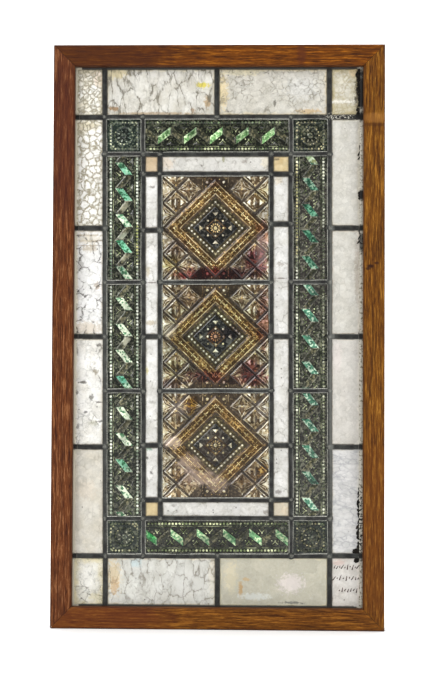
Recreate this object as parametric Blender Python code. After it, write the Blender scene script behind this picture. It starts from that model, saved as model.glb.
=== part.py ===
"""A leaded glass window in a mitred wooden frame, with three pressed ornamental tiles up its middle.

The window stands upright and faces -Y. Its origin is the middle of the frame's underside. All sizes are in metres.
"""

import math

import bmesh
import bpy
from mathutils import Vector

MM = 0.001

# Frame: four mitred members with a rebate at the back that holds the leaded panel
FRAME_WIDTH = 350 * MM
FRAME_HEIGHT = 615 * MM
MEMBER_FACE = 22.5 * MM
FRAME_DEPTH = 28 * MM
LIP_DEPTH = 9 * MM
OUTER_ARRIS = 1.0 * MM
INNER_ARRIS = 1.4 * MM
MITRE_GAP = 0.3 * MM
TOUCH_GAP = 0.3 * MM

# Lead cames: an H section whose two leaves hold the glass on either side of the heart
CAME_FACE = 4.8 * MM
CAME_HEART = 1.2 * MM
CAME_LEAF = 1.0 * MM
CAME_CHANNEL = 4.0 * MM
CAME_ARRIS = 0.5 * MM
EDGE_CAME_COVER = 5.5 * MM
EDGE_CAME_SHOWS = {"left": 1.6 * MM, "right": 3.4 * MM, "top": 1.8 * MM, "bottom": 1.4 * MM}
PANEL_FIT = 1.2 * MM

# Glazing beads behind the panel
BEAD_SETBACK = 1.5 * MM
BEAD_SLOPE = 3.0 * MM

# Lattice: widths of the columns and heights of the rows, from came centre to came centre.
# The outer white bands take up what the frame leaves, and the pattern sits a little off the frame's middle.
GREEN_COLUMN = 40.4 * MM
GREEN_ROW = 39.3 * MM
LEFT_LINER = 18.0 * MM
RIGHT_LINER = 21.1 * MM
TOP_LINER = 21.2 * MM
BOTTOM_LINER = 19.5 * MM
TILE_COLUMN = 117.3 * MM
TILE_ROW = 114.8 * MM
TILE_NAMES = ("top", "middle", "bottom")
PATTERN_LEFT = 1.1 * MM
PATTERN_UP = 0.2 * MM

# Hand setting: how far cames lean over, slope or sit off their true lines
LEFT_LEAN = 1.6 * MM
RIGHT_LEAN = 0.6 * MM
BOTTOM_SLOPE = 0.9 * MM
LEFT_LINER_SLIP = -2.1 * MM
RIGHT_LINER_SLIP = 4.4 * MM
OUTER_SLIP = -1.6 * MM
MIDDLE_SLIP = 1.7 * MM

# Glass
SHEET_GLASS = 3.0 * MM
PRESSED_GLASS = 3.2 * MM
GLASS_EDGE_GAP = 0.4 * MM
RELIEF_SINK = 1.0 * MM
RELIEF_MARGIN = 0.4 * MM
ON_CUT = 0.002 * MM

# Tile relief: heights above the plate; radii are in eighths of the tile, along the lozenge's diagonals
TILE_PARTS = 8
BAND_HEIGHT = 1.1 * MM
BAND_RADII = (3.84, 3.56, 2.74, 2.42)
BEAD_RAIL_HEIGHT = 0.8 * MM
BEAD_RAIL_RADII = (2.14, 2.02, 1.90)
FIELD_HEIGHT = 0.5 * MM
FIELD_RADII = (1.74, 1.62)
HEART_RING_HEIGHT = 1.0 * MM
HEART_RING_RADII = (0.84, 0.76, 0.66)
CELL_HEIGHT = 0.7 * MM
CELL_RADII = (0.93, 0.80)
STAR_HEIGHT = 1.5 * MM
STAR_REACH = 0.74
STAR_WAIST = 0.24
LENS_HEIGHT = 1.4 * MM
LENS_HALF = (0.22, 0.62)
WEDGE_HEIGHT = 1.5 * MM
FIELD_WEDGE = (0.90, 1.24, 0.28)
PETAL_WEDGE = (0.42, 0.60, 0.13)
SIDE_FACET = (0.32, 0.74, 0.34)
SIDE_FACET_PEAK = 0.42
FIELD_BEAD_PLACE = 0.57
FIELD_BEAD_RADIUS = 1.3 * MM
APEX_BEAD_PLACE = (0.63, 3.56)
APEX_BEAD_RADIUS = 1.8 * MM
APEX_BAR = (0.93, 1.02, 3.08)
APEX_BAR_OVERRUN = 0.2
APEX_BAR_SLOPE = 0.02
APEX_BAR_HEIGHT = 0.6 * MM
BOSS_HEIGHT = 1.7 * MM
BOSS_RADIUS = 2.0 * MM
BOSS_SIDES = 8
SMALL_BEAD_SIDES = 6

# Green strip relief: a zigzag ribbon between two rails of beads
RIBBON_PITCH = 27.6 * MM
RIBBON_REACH = 9.5 * MM
RIBBON_WIDTH = 8.8 * MM
RIBBON_HEIGHT = 1.3 * MM
RIBBON_SLOPE = 0.7 * MM
LEAF_REACH = 9.6 * MM
LEAF_DEPTH = 5.2 * MM
LEAF_HALF_LENGTH = 4.6 * MM
LEAF_HEIGHT = 0.9 * MM
RAIL_OFFSET = 14.0 * MM
RAIL_HALF_WIDTH = 1.3 * MM
RAIL_HEIGHT = 0.8 * MM
ROSETTE_RADIUS = 9.4 * MM
ROSETTE_HALF_WIDTH = 1.4 * MM
ROSETTE_SIDES = 12
ROSETTE_BOSS_RADIUS = 3.2 * MM

# How far the middle of each strip's first leg lies from the came centre at the strip's first end
FIRST_LEG = {
    "green_top": 22.6 * MM,
    "green_bottom": 7.8 * MM,
    "green_left_1": 15.5 * MM,
    "green_left_2": 23.0 * MM,
    "green_left_3": 23.6 * MM,
    "green_right_1": 4.5 * MM,
    "green_right_2": 7.5 * MM,
    "green_right_3": 8.6 * MM,
}

# Came lines, counted from the left and from the top
SIGHT_WIDTH = FRAME_WIDTH - 2 * MEMBER_FACE
SIGHT_HEIGHT = FRAME_HEIGHT - 2 * MEMBER_FACE
INNER_COLUMNS = (GREEN_COLUMN, LEFT_LINER, TILE_COLUMN, RIGHT_LINER, GREEN_COLUMN)
INNER_ROWS = (GREEN_ROW, TOP_LINER) + (TILE_ROW,) * len(TILE_NAMES) + (BOTTOM_LINER, GREEN_ROW)
SIDE_BANDS = (SIGHT_WIDTH - sum(INNER_COLUMNS)) / 2
END_BANDS = (SIGHT_HEIGHT - sum(INNER_ROWS)) / 2
COLUMN_WIDTHS = (SIDE_BANDS - PATTERN_LEFT,) + INNER_COLUMNS + (SIDE_BANDS + PATTERN_LEFT,)
ROW_HEIGHTS = (END_BANDS - PATTERN_UP,) + INNER_ROWS + (END_BANDS + PATTERN_UP,)

FRONT = -FRAME_DEPTH / 2
BACK = FRAME_DEPTH / 2
PANEL_FRONT = FRONT + LIP_DEPTH + TOUCH_GAP
PANEL_BACK = PANEL_FRONT + 2 * CAME_LEAF + CAME_CHANNEL
PANEL_MIDDLE = (PANEL_FRONT + PANEL_BACK) / 2
REBATE = EDGE_CAME_COVER + PANEL_FIT
PRESSED_FRONT = PANEL_MIDDLE - PRESSED_GLASS / 2

GREEN_LEFT = 1
GREEN_RIGHT = len(COLUMN_WIDTHS) - 1
GREEN_TOP = 1
GREEN_BOTTOM = len(ROW_HEIGHTS) - 1
FIRST_TILE_ROW = 3
LAST_TILE_ROW = FIRST_TILE_ROW + len(TILE_NAMES)
TILE_LEFT = 3
TILE_RIGHT = 4


def clear_scene():
    for obj in list(bpy.data.objects):
        bpy.data.objects.remove(obj, do_unlink=True)


def material(name, color, roughness, metallic=0.0):
    made = bpy.data.materials.new(name)
    made.use_nodes = True
    shader = made.node_tree.nodes["Principled BSDF"]
    shader.inputs["Base Color"].default_value = (*color, 1.0)
    shader.inputs["Roughness"].default_value = roughness
    shader.inputs["Metallic"].default_value = metallic
    return made


def new_object(name, bm, location, finish, parent):
    """Makes an object from a mesh in world places, with its origin at the given location."""
    bmesh.ops.translate(bm, verts=bm.verts, vec=-Vector(location))
    bmesh.ops.recalc_face_normals(bm, faces=bm.faces)
    mesh = bpy.data.meshes.new(name)
    bm.to_mesh(mesh)
    bm.free()
    mesh.materials.append(finish)
    made = bpy.data.objects.new(name, mesh)
    made.location = location
    made.parent = parent
    bpy.context.scene.collection.objects.link(made)
    return made


def loft(bm, rings, closed=False):
    """Skins a row of rings of points; an open row gets a face over each end."""
    placed = [[bm.verts.new(point) for point in ring] for ring in rings]
    pairs = list(zip(placed, placed[1:]))
    if closed:
        pairs.append((placed[-1], placed[0]))
    for first, second in pairs:
        for i in range(len(first)):
            j = (i + 1) % len(first)
            bm.faces.new((first[i], first[j], second[j], second[i]))
    if not closed:
        bm.faces.new(placed[0])
        bm.faces.new(placed[-1])


# Lattice geometry


def line_distance(widths, line):
    """How far a came line lies from the first one; a half number is midway between two whole ones."""
    whole = int(line)
    distance = sum(widths[:whole])
    if line != whole:
        distance += widths[whole] * (line - whole)
    return distance


def column_x(column):
    return line_distance(COLUMN_WIDTHS, column) - SIGHT_WIDTH / 2


def row_z(row):
    return FRAME_HEIGHT - MEMBER_FACE - line_distance(ROW_HEIGHTS, row)


def drift(x, z):
    """How far a hand-set came crossing stands off its true place, to the right and upwards."""
    across = (x - column_x(GREEN_LEFT)) / (column_x(GREEN_RIGHT) - column_x(GREEN_LEFT))
    down = (row_z(GREEN_TOP) - z) / (row_z(GREEN_TOP) - row_z(GREEN_BOTTOM))
    lean = LEFT_LEAN + (RIGHT_LEAN - LEFT_LEAN) * across
    return lean * (2 * down - 1), BOTTOM_SLOPE * (2 * across - 1) * down


def crossing(column, row, slip=0.0):
    """Where a vertical came line meets a horizontal one; the panel's edges don't drift."""
    x = column_x(column)
    z = row_z(row) + slip
    right, rise = drift(x, z)
    if column in (0, len(COLUMN_WIDTHS)):
        right = 0.0
    if row in (0, len(ROW_HEIGHTS)):
        rise = 0.0
    if column != int(column):
        right += MIDDLE_SLIP
    return Vector((x + right, z + rise))


def pane_corners(pane):
    """Came centre lines around a pane, from its lower left corner and round by the lower right."""
    left, right, top, bottom = pane["lines"]
    top_slip, bottom_slip = pane["slips"]
    return (
        crossing(left, bottom, bottom_slip),
        crossing(right, bottom, bottom_slip),
        crossing(right, top, top_slip),
        crossing(left, top, top_slip),
    )


def meet(start, along, other_start, other_along):
    """Where two straight lines in the window's plane cross."""
    cross = along.x * other_along.y - along.y * other_along.x
    offset = other_start - start
    distance = (offset.x * other_along.y - offset.y * other_along.x) / cross
    return start + along * distance


def inset_corners(corners, bottom, right, top, left):
    """Moves each side of a four-cornered outline inwards by its own distance."""
    sides = []
    for i, distance in enumerate((bottom, right, top, left)):
        start = corners[i]
        along = (corners[(i + 1) % 4] - start).normalized()
        inwards = Vector((-along.y, along.x))
        sides.append((start + inwards * distance, along))
    return [meet(*sides[i - 1], *sides[i]) for i in range(4)]


def opening(pane, cover):
    """A pane's outline, with each came centre line moved in by what the cover gives for came and edge."""
    left, right, top, bottom = pane["lines"]
    return inset_corners(
        pane_corners(pane),
        cover("bottom") if bottom == len(ROW_HEIGHTS) else cover(None),
        cover("right") if right == len(COLUMN_WIDTHS) else cover(None),
        cover("top") if top == 0 else cover(None),
        cover("left") if left == 0 else cover(None),
    )


def sight(pane):
    """What shows of a pane between its leads."""
    return opening(pane, lambda edge: EDGE_CAME_SHOWS[edge] if edge else CAME_FACE / 2)


def channel(pane):
    """The space between the hearts of the leads round a pane."""
    reach = (CAME_FACE - CAME_HEART) / 2
    return inset_corners(sight(pane), -reach, -reach, -reach, -reach)


def glass_outline(pane):
    return inset_corners(channel(pane), *(GLASS_EDGE_GAP,) * 4)


def centre_of(corners):
    return sum(corners, Vector((0.0, 0.0))) / len(corners)


def at_depth(corners, y):
    return [Vector((corner.x, y, corner.y)) for corner in corners]


def list_panes():
    """Every piece of glass with the came lines round it: left, right, top and bottom."""
    panes = []

    def add(name, kind, left, right, top, bottom, slips=(0.0, 0.0)):
        lines = (left, right, top, bottom)
        panes.append({"name": name, "kind": kind, "lines": lines, "slips": slips})

    last_column = len(COLUMN_WIDTHS)
    last_row = len(ROW_HEIGHTS)
    middle_column = (TILE_LEFT + TILE_RIGHT) / 2
    for side, left, right in (("left", 0, GREEN_LEFT), ("right", GREEN_RIGHT, last_column)):
        add(f"white_corner_top_{side}", "white", left, right, 0, GREEN_TOP)
        add(f"white_corner_bottom_{side}", "white", left, right, GREEN_BOTTOM, last_row)
        rows = [GREEN_TOP] + [row + 0.5 for row in range(FIRST_TILE_ROW, LAST_TILE_ROW)] + [GREEN_BOTTOM]
        slips = [0.0] * (len(rows) - 2) + [OUTER_SLIP, 0.0]
        for i, (top, bottom) in enumerate(zip(rows, rows[1:])):
            add(f"white_{side}_{i + 1}", "white", left, right, top, bottom, (slips[i], slips[i + 1]))
    for side, top, bottom in (("top", 0, GREEN_TOP), ("bottom", GREEN_BOTTOM, last_row)):
        add(f"white_{side}_left", "white", GREEN_LEFT, middle_column, top, bottom)
        add(f"white_{side}_right", "white", middle_column, GREEN_RIGHT, top, bottom)

    for side, left, right in (("left", 1, 2), ("right", 5, 6)):
        add(f"green_corner_top_{side}", "rosette", left, right, 1, 2)
        add(f"green_corner_bottom_{side}", "rosette", left, right, LAST_TILE_ROW + 1, GREEN_BOTTOM)
        rows = [2] + list(range(FIRST_TILE_ROW + 1, LAST_TILE_ROW)) + [LAST_TILE_ROW + 1]
        for i, (top, bottom) in enumerate(zip(rows, rows[1:])):
            add(f"green_{side}_{i + 1}", "ribbon_down", left, right, top, bottom)
    add("green_top", "ribbon_across", 2, 5, 1, 2)
    add("green_bottom", "ribbon_back", 2, 5, LAST_TILE_ROW + 1, GREEN_BOTTOM)

    for side, left, right, slip in (("left", 2, 3, LEFT_LINER_SLIP), ("right", 4, 5, RIGHT_LINER_SLIP)):
        add(f"liner_corner_top_{side}", "cream", left, right, 2, 3)
        add(f"liner_corner_bottom_{side}", "cream", left, right, LAST_TILE_ROW, LAST_TILE_ROW + 1)
        rows = [FIRST_TILE_ROW] + [row + 0.5 for row in range(FIRST_TILE_ROW, LAST_TILE_ROW)] + [LAST_TILE_ROW]
        slips = [0.0, slip] + [0.0] * (len(rows) - 2)
        for i, (top, bottom) in enumerate(zip(rows, rows[1:])):
            add(f"liner_{side}_{i + 1}", "liner", left, right, top, bottom, (slips[i], slips[i + 1]))
    add("liner_top", "liner", TILE_LEFT, TILE_RIGHT, 2, 3)
    add("liner_bottom", "liner", TILE_LEFT, TILE_RIGHT, LAST_TILE_ROW, LAST_TILE_ROW + 1)

    for i, name in enumerate(TILE_NAMES):
        add(f"tile_{name}", "tile", TILE_LEFT, TILE_RIGHT, FIRST_TILE_ROW + i, FIRST_TILE_ROW + i + 1)
    return panes


# Wooden frame and glazing beads


def frame_side(side):
    """A member's middle on the window's outline, the way along it, the way in, and its half length."""
    middle = FRAME_HEIGHT / 2
    return {
        "top": (Vector((0, 0, FRAME_HEIGHT)), Vector((1, 0, 0)), Vector((0, 0, -1)), FRAME_WIDTH / 2),
        "bottom": (Vector((0, 0, 0)), Vector((1, 0, 0)), Vector((0, 0, 1)), FRAME_WIDTH / 2),
        "left": (Vector((-FRAME_WIDTH / 2, 0, middle)), Vector((0, 0, 1)), Vector((1, 0, 0)), FRAME_HEIGHT / 2),
        "right": (Vector((FRAME_WIDTH / 2, 0, middle)), Vector((0, 0, 1)), Vector((-1, 0, 0)), FRAME_HEIGHT / 2),
    }[side]


def mitred_length(name, side, section, finish, parent):
    """A straight length on one side of the window, from section points of distance in and depth."""
    middle, along, inwards, half_length = frame_side(side)
    mitre_cut = MITRE_GAP / math.sqrt(2)
    bm = bmesh.new()
    rings = []
    for end in (-1, 1):
        ring = []
        for distance, y in section:
            reach = half_length - distance - mitre_cut
            ring.append(middle + along * end * reach + inwards * distance + Vector((0, y, 0)))
        rings.append(ring)
    loft(bm, rings)
    return new_object(name, bm, middle, finish, parent)


def build_frame(finish, parent):
    rebate_wall = MEMBER_FACE - REBATE
    section = (
        (0, FRONT + OUTER_ARRIS),
        (OUTER_ARRIS, FRONT),
        (MEMBER_FACE - INNER_ARRIS, FRONT),
        (MEMBER_FACE, FRONT + INNER_ARRIS),
        (MEMBER_FACE, FRONT + LIP_DEPTH),
        (rebate_wall, FRONT + LIP_DEPTH),
        (rebate_wall, BACK),
        (OUTER_ARRIS, BACK),
        (0, BACK - OUTER_ARRIS),
    )
    for side in ("top", "bottom", "left", "right"):
        mitred_length(f"frame_{side}", side, section, finish, parent)


def build_glazing_beads(finish, parent):
    outer = MEMBER_FACE - REBATE + TOUCH_GAP
    section = (
        (outer, PANEL_BACK + TOUCH_GAP),
        (MEMBER_FACE, PANEL_BACK + TOUCH_GAP),
        (MEMBER_FACE, BACK - BEAD_SETBACK - BEAD_SLOPE),
        (MEMBER_FACE - BEAD_SLOPE, BACK - BEAD_SETBACK),
        (outer, BACK - BEAD_SETBACK),
    )
    for side in ("top", "bottom", "left", "right"):
        mitred_length(f"glazing_bead_{side}", side, section, finish, parent)


# Lead lattice


def came_cutter_rings(pane):
    """The space that a pane and the view through it take out of the lead, from in front to behind."""
    clear = sight(pane)
    flared = inset_corners(clear, *(-2 * CAME_ARRIS,) * 4)
    pocket = channel(pane)
    return (
        at_depth(flared, PANEL_FRONT - CAME_ARRIS),
        at_depth(clear, PANEL_FRONT + CAME_ARRIS),
        at_depth(clear, PANEL_FRONT + CAME_LEAF),
        at_depth(pocket, PANEL_FRONT + CAME_LEAF),
        at_depth(pocket, PANEL_BACK - CAME_LEAF),
        at_depth(clear, PANEL_BACK - CAME_LEAF),
        at_depth(clear, PANEL_BACK + CAME_LEAF),
    )


def build_lattice(panes, finish, parent):
    """One slab of lead as large as the panel, with a stepped space cut out of it for each pane."""
    half_width = SIGHT_WIDTH / 2 + EDGE_CAME_COVER
    middle = FRAME_HEIGHT / 2
    half_height = SIGHT_HEIGHT / 2 + EDGE_CAME_COVER
    outline = [
        Vector((-half_width, middle - half_height)),
        Vector((half_width, middle - half_height)),
        Vector((half_width, middle + half_height)),
        Vector((-half_width, middle + half_height)),
    ]
    place = Vector((0, PANEL_MIDDLE, middle))
    slab = bmesh.new()
    loft(slab, (at_depth(outline, PANEL_FRONT), at_depth(outline, PANEL_BACK)))
    lattice = new_object("came_lattice", slab, place, finish, parent)
    spaces = bmesh.new()
    for pane in panes:
        loft(spaces, came_cutter_rings(pane))
    cutter = hidden_tool("came_spaces", spaces, place, finish, parent)
    cut = lattice.modifiers.new("pane spaces", "BOOLEAN")
    cut.operation = "DIFFERENCE"
    cut.object = cutter


def hidden_tool(name, bm, location, finish, parent):
    made = new_object(name, bm, location, finish, parent)
    made.hide_render = True
    made.display_type = "WIRE"
    return made


# Relief of the pressed glass, first in a flat pane's own directions and then set on the pane


def set_on_pane(bm, pane):
    """Moves relief made about the origin, right along X and up along Z, onto its pane, leaning with its leads."""
    corners = sight(pane)
    centre = centre_of(corners)
    right = (corners[1] - corners[0] + corners[2] - corners[3]).normalized()
    up = (corners[3] - corners[0] + corners[2] - corners[1]).normalized()
    for vert in bm.verts:
        x, y, z = vert.co
        flat = centre + right * x + up * z
        vert.co = Vector((flat.x, PRESSED_FRONT + y, flat.y))


def half_sizes(pane):
    """Half the width and half the height of what shows of a pane, less the relief's margin."""
    corners = sight(pane)
    width = min((corners[1] - corners[0]).length, (corners[2] - corners[3]).length)
    height = min((corners[3] - corners[0]).length, (corners[2] - corners[1]).length)
    return width / 2 - RELIEF_MARGIN, height / 2 - RELIEF_MARGIN


def trim_to_pane(bm, half_width, half_height):
    """Cuts relief off flat where the tile ends, and closes each cut."""
    for axis, half in ((Vector((1, 0, 0)), half_width), (Vector((0, 0, 1)), half_height)):
        for way in (-1, 1):
            bmesh.ops.bisect_plane(
                bm,
                geom=bm.verts[:] + bm.edges[:] + bm.faces[:],
                dist=ON_CUT,
                plane_co=axis * way * half,
                plane_no=axis * way,
                clear_outer=True,
            )
            open_edges = [edge for edge in bm.edges if edge.is_boundary]
            if open_edges:
                bmesh.ops.holes_fill(bm, edges=open_edges)


def outline_ring(points, height):
    """Points of right and up, set at a height above the plate; a height of None is the sunk foot."""
    y = RELIEF_SINK if height is None else -height
    return [Vector((x, y, z)) for x, z in points]


def lozenge(x, z, half_width, half_height):
    return [(x + half_width, z), (x, z + half_height), (x - half_width, z), (x, z - half_height)]


def round_outline(radius, sides):
    turn = 2 * math.pi / sides
    return [(radius * math.cos(i * turn), radius * math.sin(i * turn)) for i in range(sides)]


def raised(bm, foot, top, height):
    """A raised shape with sloping sides: its foot's outline, its top's outline and its height."""
    loft(bm, (outline_ring(foot, None), outline_ring(foot, 0.0), outline_ring(top, height)))


def peaked(bm, foot, peak, height, base=0.0):
    """A raised shape whose sides run up to one point."""
    lower = [bm.verts.new(point) for point in outline_ring(foot, base)]
    sunk = [bm.verts.new(point) for point in outline_ring(foot, None)]
    tip = bm.verts.new((peak[0], -height, peak[1]))
    bm.faces.new(sunk)
    for i in range(len(lower)):
        j = (i + 1) % len(lower)
        bm.faces.new((sunk[i], sunk[j], lower[j], lower[i]))
        bm.faces.new((lower[i], lower[j], tip))


def ridge_ring(bm, outlines, heights):
    """A raised ring, from the outlines of its outer foot, its tops and its inner foot."""
    rings = [outline_ring(outline, height) for outline, height in zip(outlines, heights)]
    rings.append(outline_ring(outlines[-1], None))
    rings.insert(0, outline_ring(outlines[0], None))
    loft(bm, rings, closed=True)


def boss(bm, x, z, radius, height, sides=BOSS_SIDES):
    """A low faceted bead."""
    wide = [(x + a, z + b) for a, b in round_outline(radius, sides)]
    narrow = [(x + a, z + b) for a, b in round_outline(radius / 2, sides)]
    loft(bm, (outline_ring(wide, None), outline_ring(wide, height / 2), outline_ring(narrow, height)))


def tile_relief(bm, half_width, half_height):
    """The tile's big lozenge with its field, and the small lozenge cells that fill its four corners."""
    across = 2 * half_width / TILE_PARTS
    upward = 2 * half_height / TILE_PARTS

    def about_centre(radii):
        return [lozenge(0, 0, radius * across, radius * upward) for radius in radii]

    ridge_ring(bm, about_centre(BAND_RADII), (0.0, BAND_HEIGHT, BAND_HEIGHT, 0.0))
    ridge_ring(bm, about_centre(BEAD_RAIL_RADII), (0.0, BEAD_RAIL_HEIGHT, 0.0))
    raised(bm, *about_centre(FIELD_RADII), FIELD_HEIGHT)
    ridge_ring(bm, about_centre(HEART_RING_RADII), (FIELD_HEIGHT / 2, HEART_RING_HEIGHT, FIELD_HEIGHT / 2))
    boss(bm, 0, 0, BOSS_RADIUS, BOSS_HEIGHT)
    for way_x, way_z in ((1, 0), (-1, 0), (0, 1), (0, -1)):
        axis_wedge(bm, way_x, way_z, across, upward, FIELD_WEDGE)
        axis_wedge(bm, way_x, way_z, across, upward, PETAL_WEDGE)
    for way_x in (-1, 1):
        for way_z in (-1, 1):
            bead_x = way_x * FIELD_BEAD_PLACE * across
            bead_z = way_z * FIELD_BEAD_PLACE * upward
            boss(bm, bead_x, bead_z, FIELD_BEAD_RADIUS, BOSS_HEIGHT, SMALL_BEAD_SIDES)
            apex_corner(bm, way_x, way_z, across, upward)
            for x, z in ((2, 3), (4, 3), (4, 1)):
                star_cell(bm, way_x * x * across, way_z * z * upward, across, upward)
            for x, z in ((3, 2), (3, 4)):
                lens_cell(bm, way_x * x * across, way_z * z * upward, across, upward)


def apex_corner(bm, way_x, way_z, across, upward):
    """The bar and the bead beside the upper or lower apex of the big lozenge."""
    near, far, low = APEX_BAR
    high = TILE_PARTS / 2 + APEX_BAR_OVERRUN
    foot = [(near, low), (far, low), (far, high), (near, high)]
    edge = APEX_BAR_SLOPE
    top = [(near + edge, low + edge), (far - edge, low + edge), (far - edge, high), (near + edge, high)]
    foot, top = ([(way_x * x * across, way_z * z * upward) for x, z in outline] for outline in (foot, top))
    raised(bm, foot, top, APEX_BAR_HEIGHT)
    x, z = APEX_BEAD_PLACE
    boss(bm, way_x * x * across, way_z * z * upward, APEX_BEAD_RADIUS, BOSS_HEIGHT, SMALL_BEAD_SIDES)


def axis_wedge(bm, way_x, way_z, across, upward, wedge):
    """A small triangle on the field's axis, pointing at the tile's centre."""
    inner, outer, half = wedge
    foot = [
        ((way_x * inner) * across, (way_z * inner) * upward),
        ((way_x * outer + way_z * half) * across, (way_z * outer - way_x * half) * upward),
        ((way_x * outer - way_z * half) * across, (way_z * outer + way_x * half) * upward),
    ]
    peak = (way_x * (inner + 2 * outer) / 3 * across, way_z * (inner + 2 * outer) / 3 * upward)
    peaked(bm, foot, peak, WEDGE_HEIGHT, FIELD_HEIGHT / 2)


def cell_pad(bm, x, z, across, upward):
    foot, top = (lozenge(x, z, radius * across, radius * upward) for radius in CELL_RADII)
    raised(bm, foot, top, CELL_HEIGHT)


def star_cell(bm, x, z, across, upward):
    """A lozenge pad with a four-pointed star that rises to its middle."""
    cell_pad(bm, x, z, across, upward)
    star = []
    for i in range(8):
        reach = STAR_REACH if i % 2 == 0 else STAR_WAIST * math.sqrt(2)
        angle = i * math.pi / 4
        star.append((x + reach * math.cos(angle) * across, z + reach * math.sin(angle) * upward))
    peaked(bm, star, (x, z), STAR_HEIGHT, CELL_HEIGHT / 2)


def lens_cell(bm, x, z, across, upward):
    """A lozenge pad with an upright pointed oval between two side facets."""
    cell_pad(bm, x, z, across, upward)
    half_wide, half_tall = LENS_HALF
    wide = half_wide * across
    tall = half_tall * upward
    oval = [(x + wide, z - tall / 3), (x + wide, z + tall / 3), (x, z + tall)]
    oval += [(x - wide, z + tall / 3), (x - wide, z - tall / 3), (x, z - tall)]
    peaked(bm, oval, (x, z), LENS_HEIGHT, CELL_HEIGHT / 2)
    near, far, half = SIDE_FACET
    for way in (-1, 1):
        facet = [
            (x + way * near * across, z - half * upward),
            (x + way * near * across, z + half * upward),
            (x + way * far * across, z),
        ]
        peaked(bm, facet, (x + way * SIDE_FACET_PEAK * across, z), WEDGE_HEIGHT, CELL_HEIGHT / 2)


def ribbon_relief(bm, half_length, half_width, first_leg):
    """A zigzag ribbon that runs down the strip between two rails; right is its way along, up its way across."""
    leg = RIBBON_PITCH / 2
    start = first_leg - CAME_FACE / 2 - RELIEF_MARGIN - half_length - leg / 2
    folds_before = math.ceil((start + half_length) / leg) + 1
    fold_count = folds_before + math.ceil((half_length - start) / leg) + 2
    rings = []
    for i in range(fold_count):
        step = i - folds_before
        along = start + step * leg
        low = -RIBBON_REACH if step % 2 == 0 else RIBBON_REACH - RIBBON_WIDTH
        high = low + RIBBON_WIDTH
        ring = (
            (low - RIBBON_SLOPE, RELIEF_SINK),
            (low, -RIBBON_HEIGHT),
            (high, -RIBBON_HEIGHT),
            (high + RIBBON_SLOPE, RELIEF_SINK),
        )
        rings.append([Vector((along, y, across)) for across, y in ring])
        leaf(bm, along, 1 if step % 2 == 0 else -1)
    loft(bm, rings)
    for way in (-1, 1):
        bead_rail(bm, half_length, way * min(RAIL_OFFSET, half_width - RAIL_HALF_WIDTH))


def leaf(bm, along, way):
    """A small facet in the bay that the ribbon leaves on its far side at a fold."""
    foot = [
        (along - LEAF_HALF_LENGTH, way * LEAF_REACH),
        (along + LEAF_HALF_LENGTH, way * LEAF_REACH),
        (along, way * (LEAF_REACH - LEAF_DEPTH)),
    ]
    peaked(bm, foot, (along, way * (LEAF_REACH - LEAF_DEPTH / 4)), LEAF_HEIGHT)


def bead_rail(bm, half_length, offset):
    rings = []
    for along in (-half_length, half_length):
        ring = (
            (offset - RAIL_HALF_WIDTH, RELIEF_SINK),
            (offset - RAIL_HALF_WIDTH, 0.0),
            (offset, -RAIL_HEIGHT),
            (offset + RAIL_HALF_WIDTH, 0.0),
            (offset + RAIL_HALF_WIDTH, RELIEF_SINK),
        )
        rings.append([Vector((along, y, across)) for across, y in ring])
    loft(bm, rings)


def rosette_relief(bm, half_width, half_height):
    """A square border rail round a ring and a centre bead."""
    border = min(RAIL_OFFSET, half_width - RAIL_HALF_WIDTH, half_height - RAIL_HALF_WIDTH)
    squares = []
    for distance in (border + RAIL_HALF_WIDTH, border, border - RAIL_HALF_WIDTH):
        squares.append([(distance, distance), (-distance, distance), (-distance, -distance), (distance, -distance)])
    ridge_ring(bm, squares, (0.0, RAIL_HEIGHT, 0.0))
    rings = (ROSETTE_RADIUS + ROSETTE_HALF_WIDTH, ROSETTE_RADIUS, ROSETTE_RADIUS - ROSETTE_HALF_WIDTH)
    ridge_ring(bm, [round_outline(radius, ROSETTE_SIDES) for radius in rings], (0.0, BAND_HEIGHT, 0.0))
    boss(bm, 0, 0, ROSETTE_BOSS_RADIUS, BOSS_HEIGHT)


def turned(bm, right, up):
    """Swings relief made along X so that it runs along the given direction, with its across along the other."""
    for vert in bm.verts:
        x, y, z = vert.co
        vert.co = right * x + up * z + Vector((0, y, 0))


def relief_of(pane):
    bm = bmesh.new()
    half_width, half_height = half_sizes(pane)
    kind = pane["kind"]
    if kind == "tile":
        tile_relief(bm, half_width, half_height)
    elif kind == "rosette":
        rosette_relief(bm, half_width, half_height)
    elif kind == "ribbon_down":
        ribbon_relief(bm, half_height, half_width, FIRST_LEG[pane["name"]])
        turned(bm, Vector((0, 0, -1)), Vector((1, 0, 0)))
    elif kind == "ribbon_across":
        ribbon_relief(bm, half_width, half_height, FIRST_LEG[pane["name"]])
    else:
        ribbon_relief(bm, half_width, half_height, FIRST_LEG[pane["name"]])
        turned(bm, Vector((1, 0, 0)), Vector((0, 0, -1)))
    bmesh.ops.recalc_face_normals(bm, faces=bm.faces)
    trim_to_pane(bm, half_width, half_height)
    set_on_pane(bm, pane)
    return bm


def build_pane(pane, finish, parent):
    outline = glass_outline(pane)
    centre = centre_of(outline)
    pressed = pane["kind"] not in ("white", "cream", "liner")
    half = (PRESSED_GLASS if pressed else SHEET_GLASS) / 2
    bm = bmesh.new()
    loft(bm, (at_depth(outline, PANEL_MIDDLE - half), at_depth(outline, PANEL_MIDDLE + half)))
    place = Vector((centre.x, PANEL_MIDDLE, centre.y))
    glass = new_object(pane["name"], bm, place, finish, parent)
    if pressed:
        tool = hidden_tool(f"{pane['name']}_relief", relief_of(pane), place, finish, parent)
        join = glass.modifiers.new("pressed relief", "BOOLEAN")
        join.operation = "UNION"
        join.object = tool
        join.use_self = True


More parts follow.
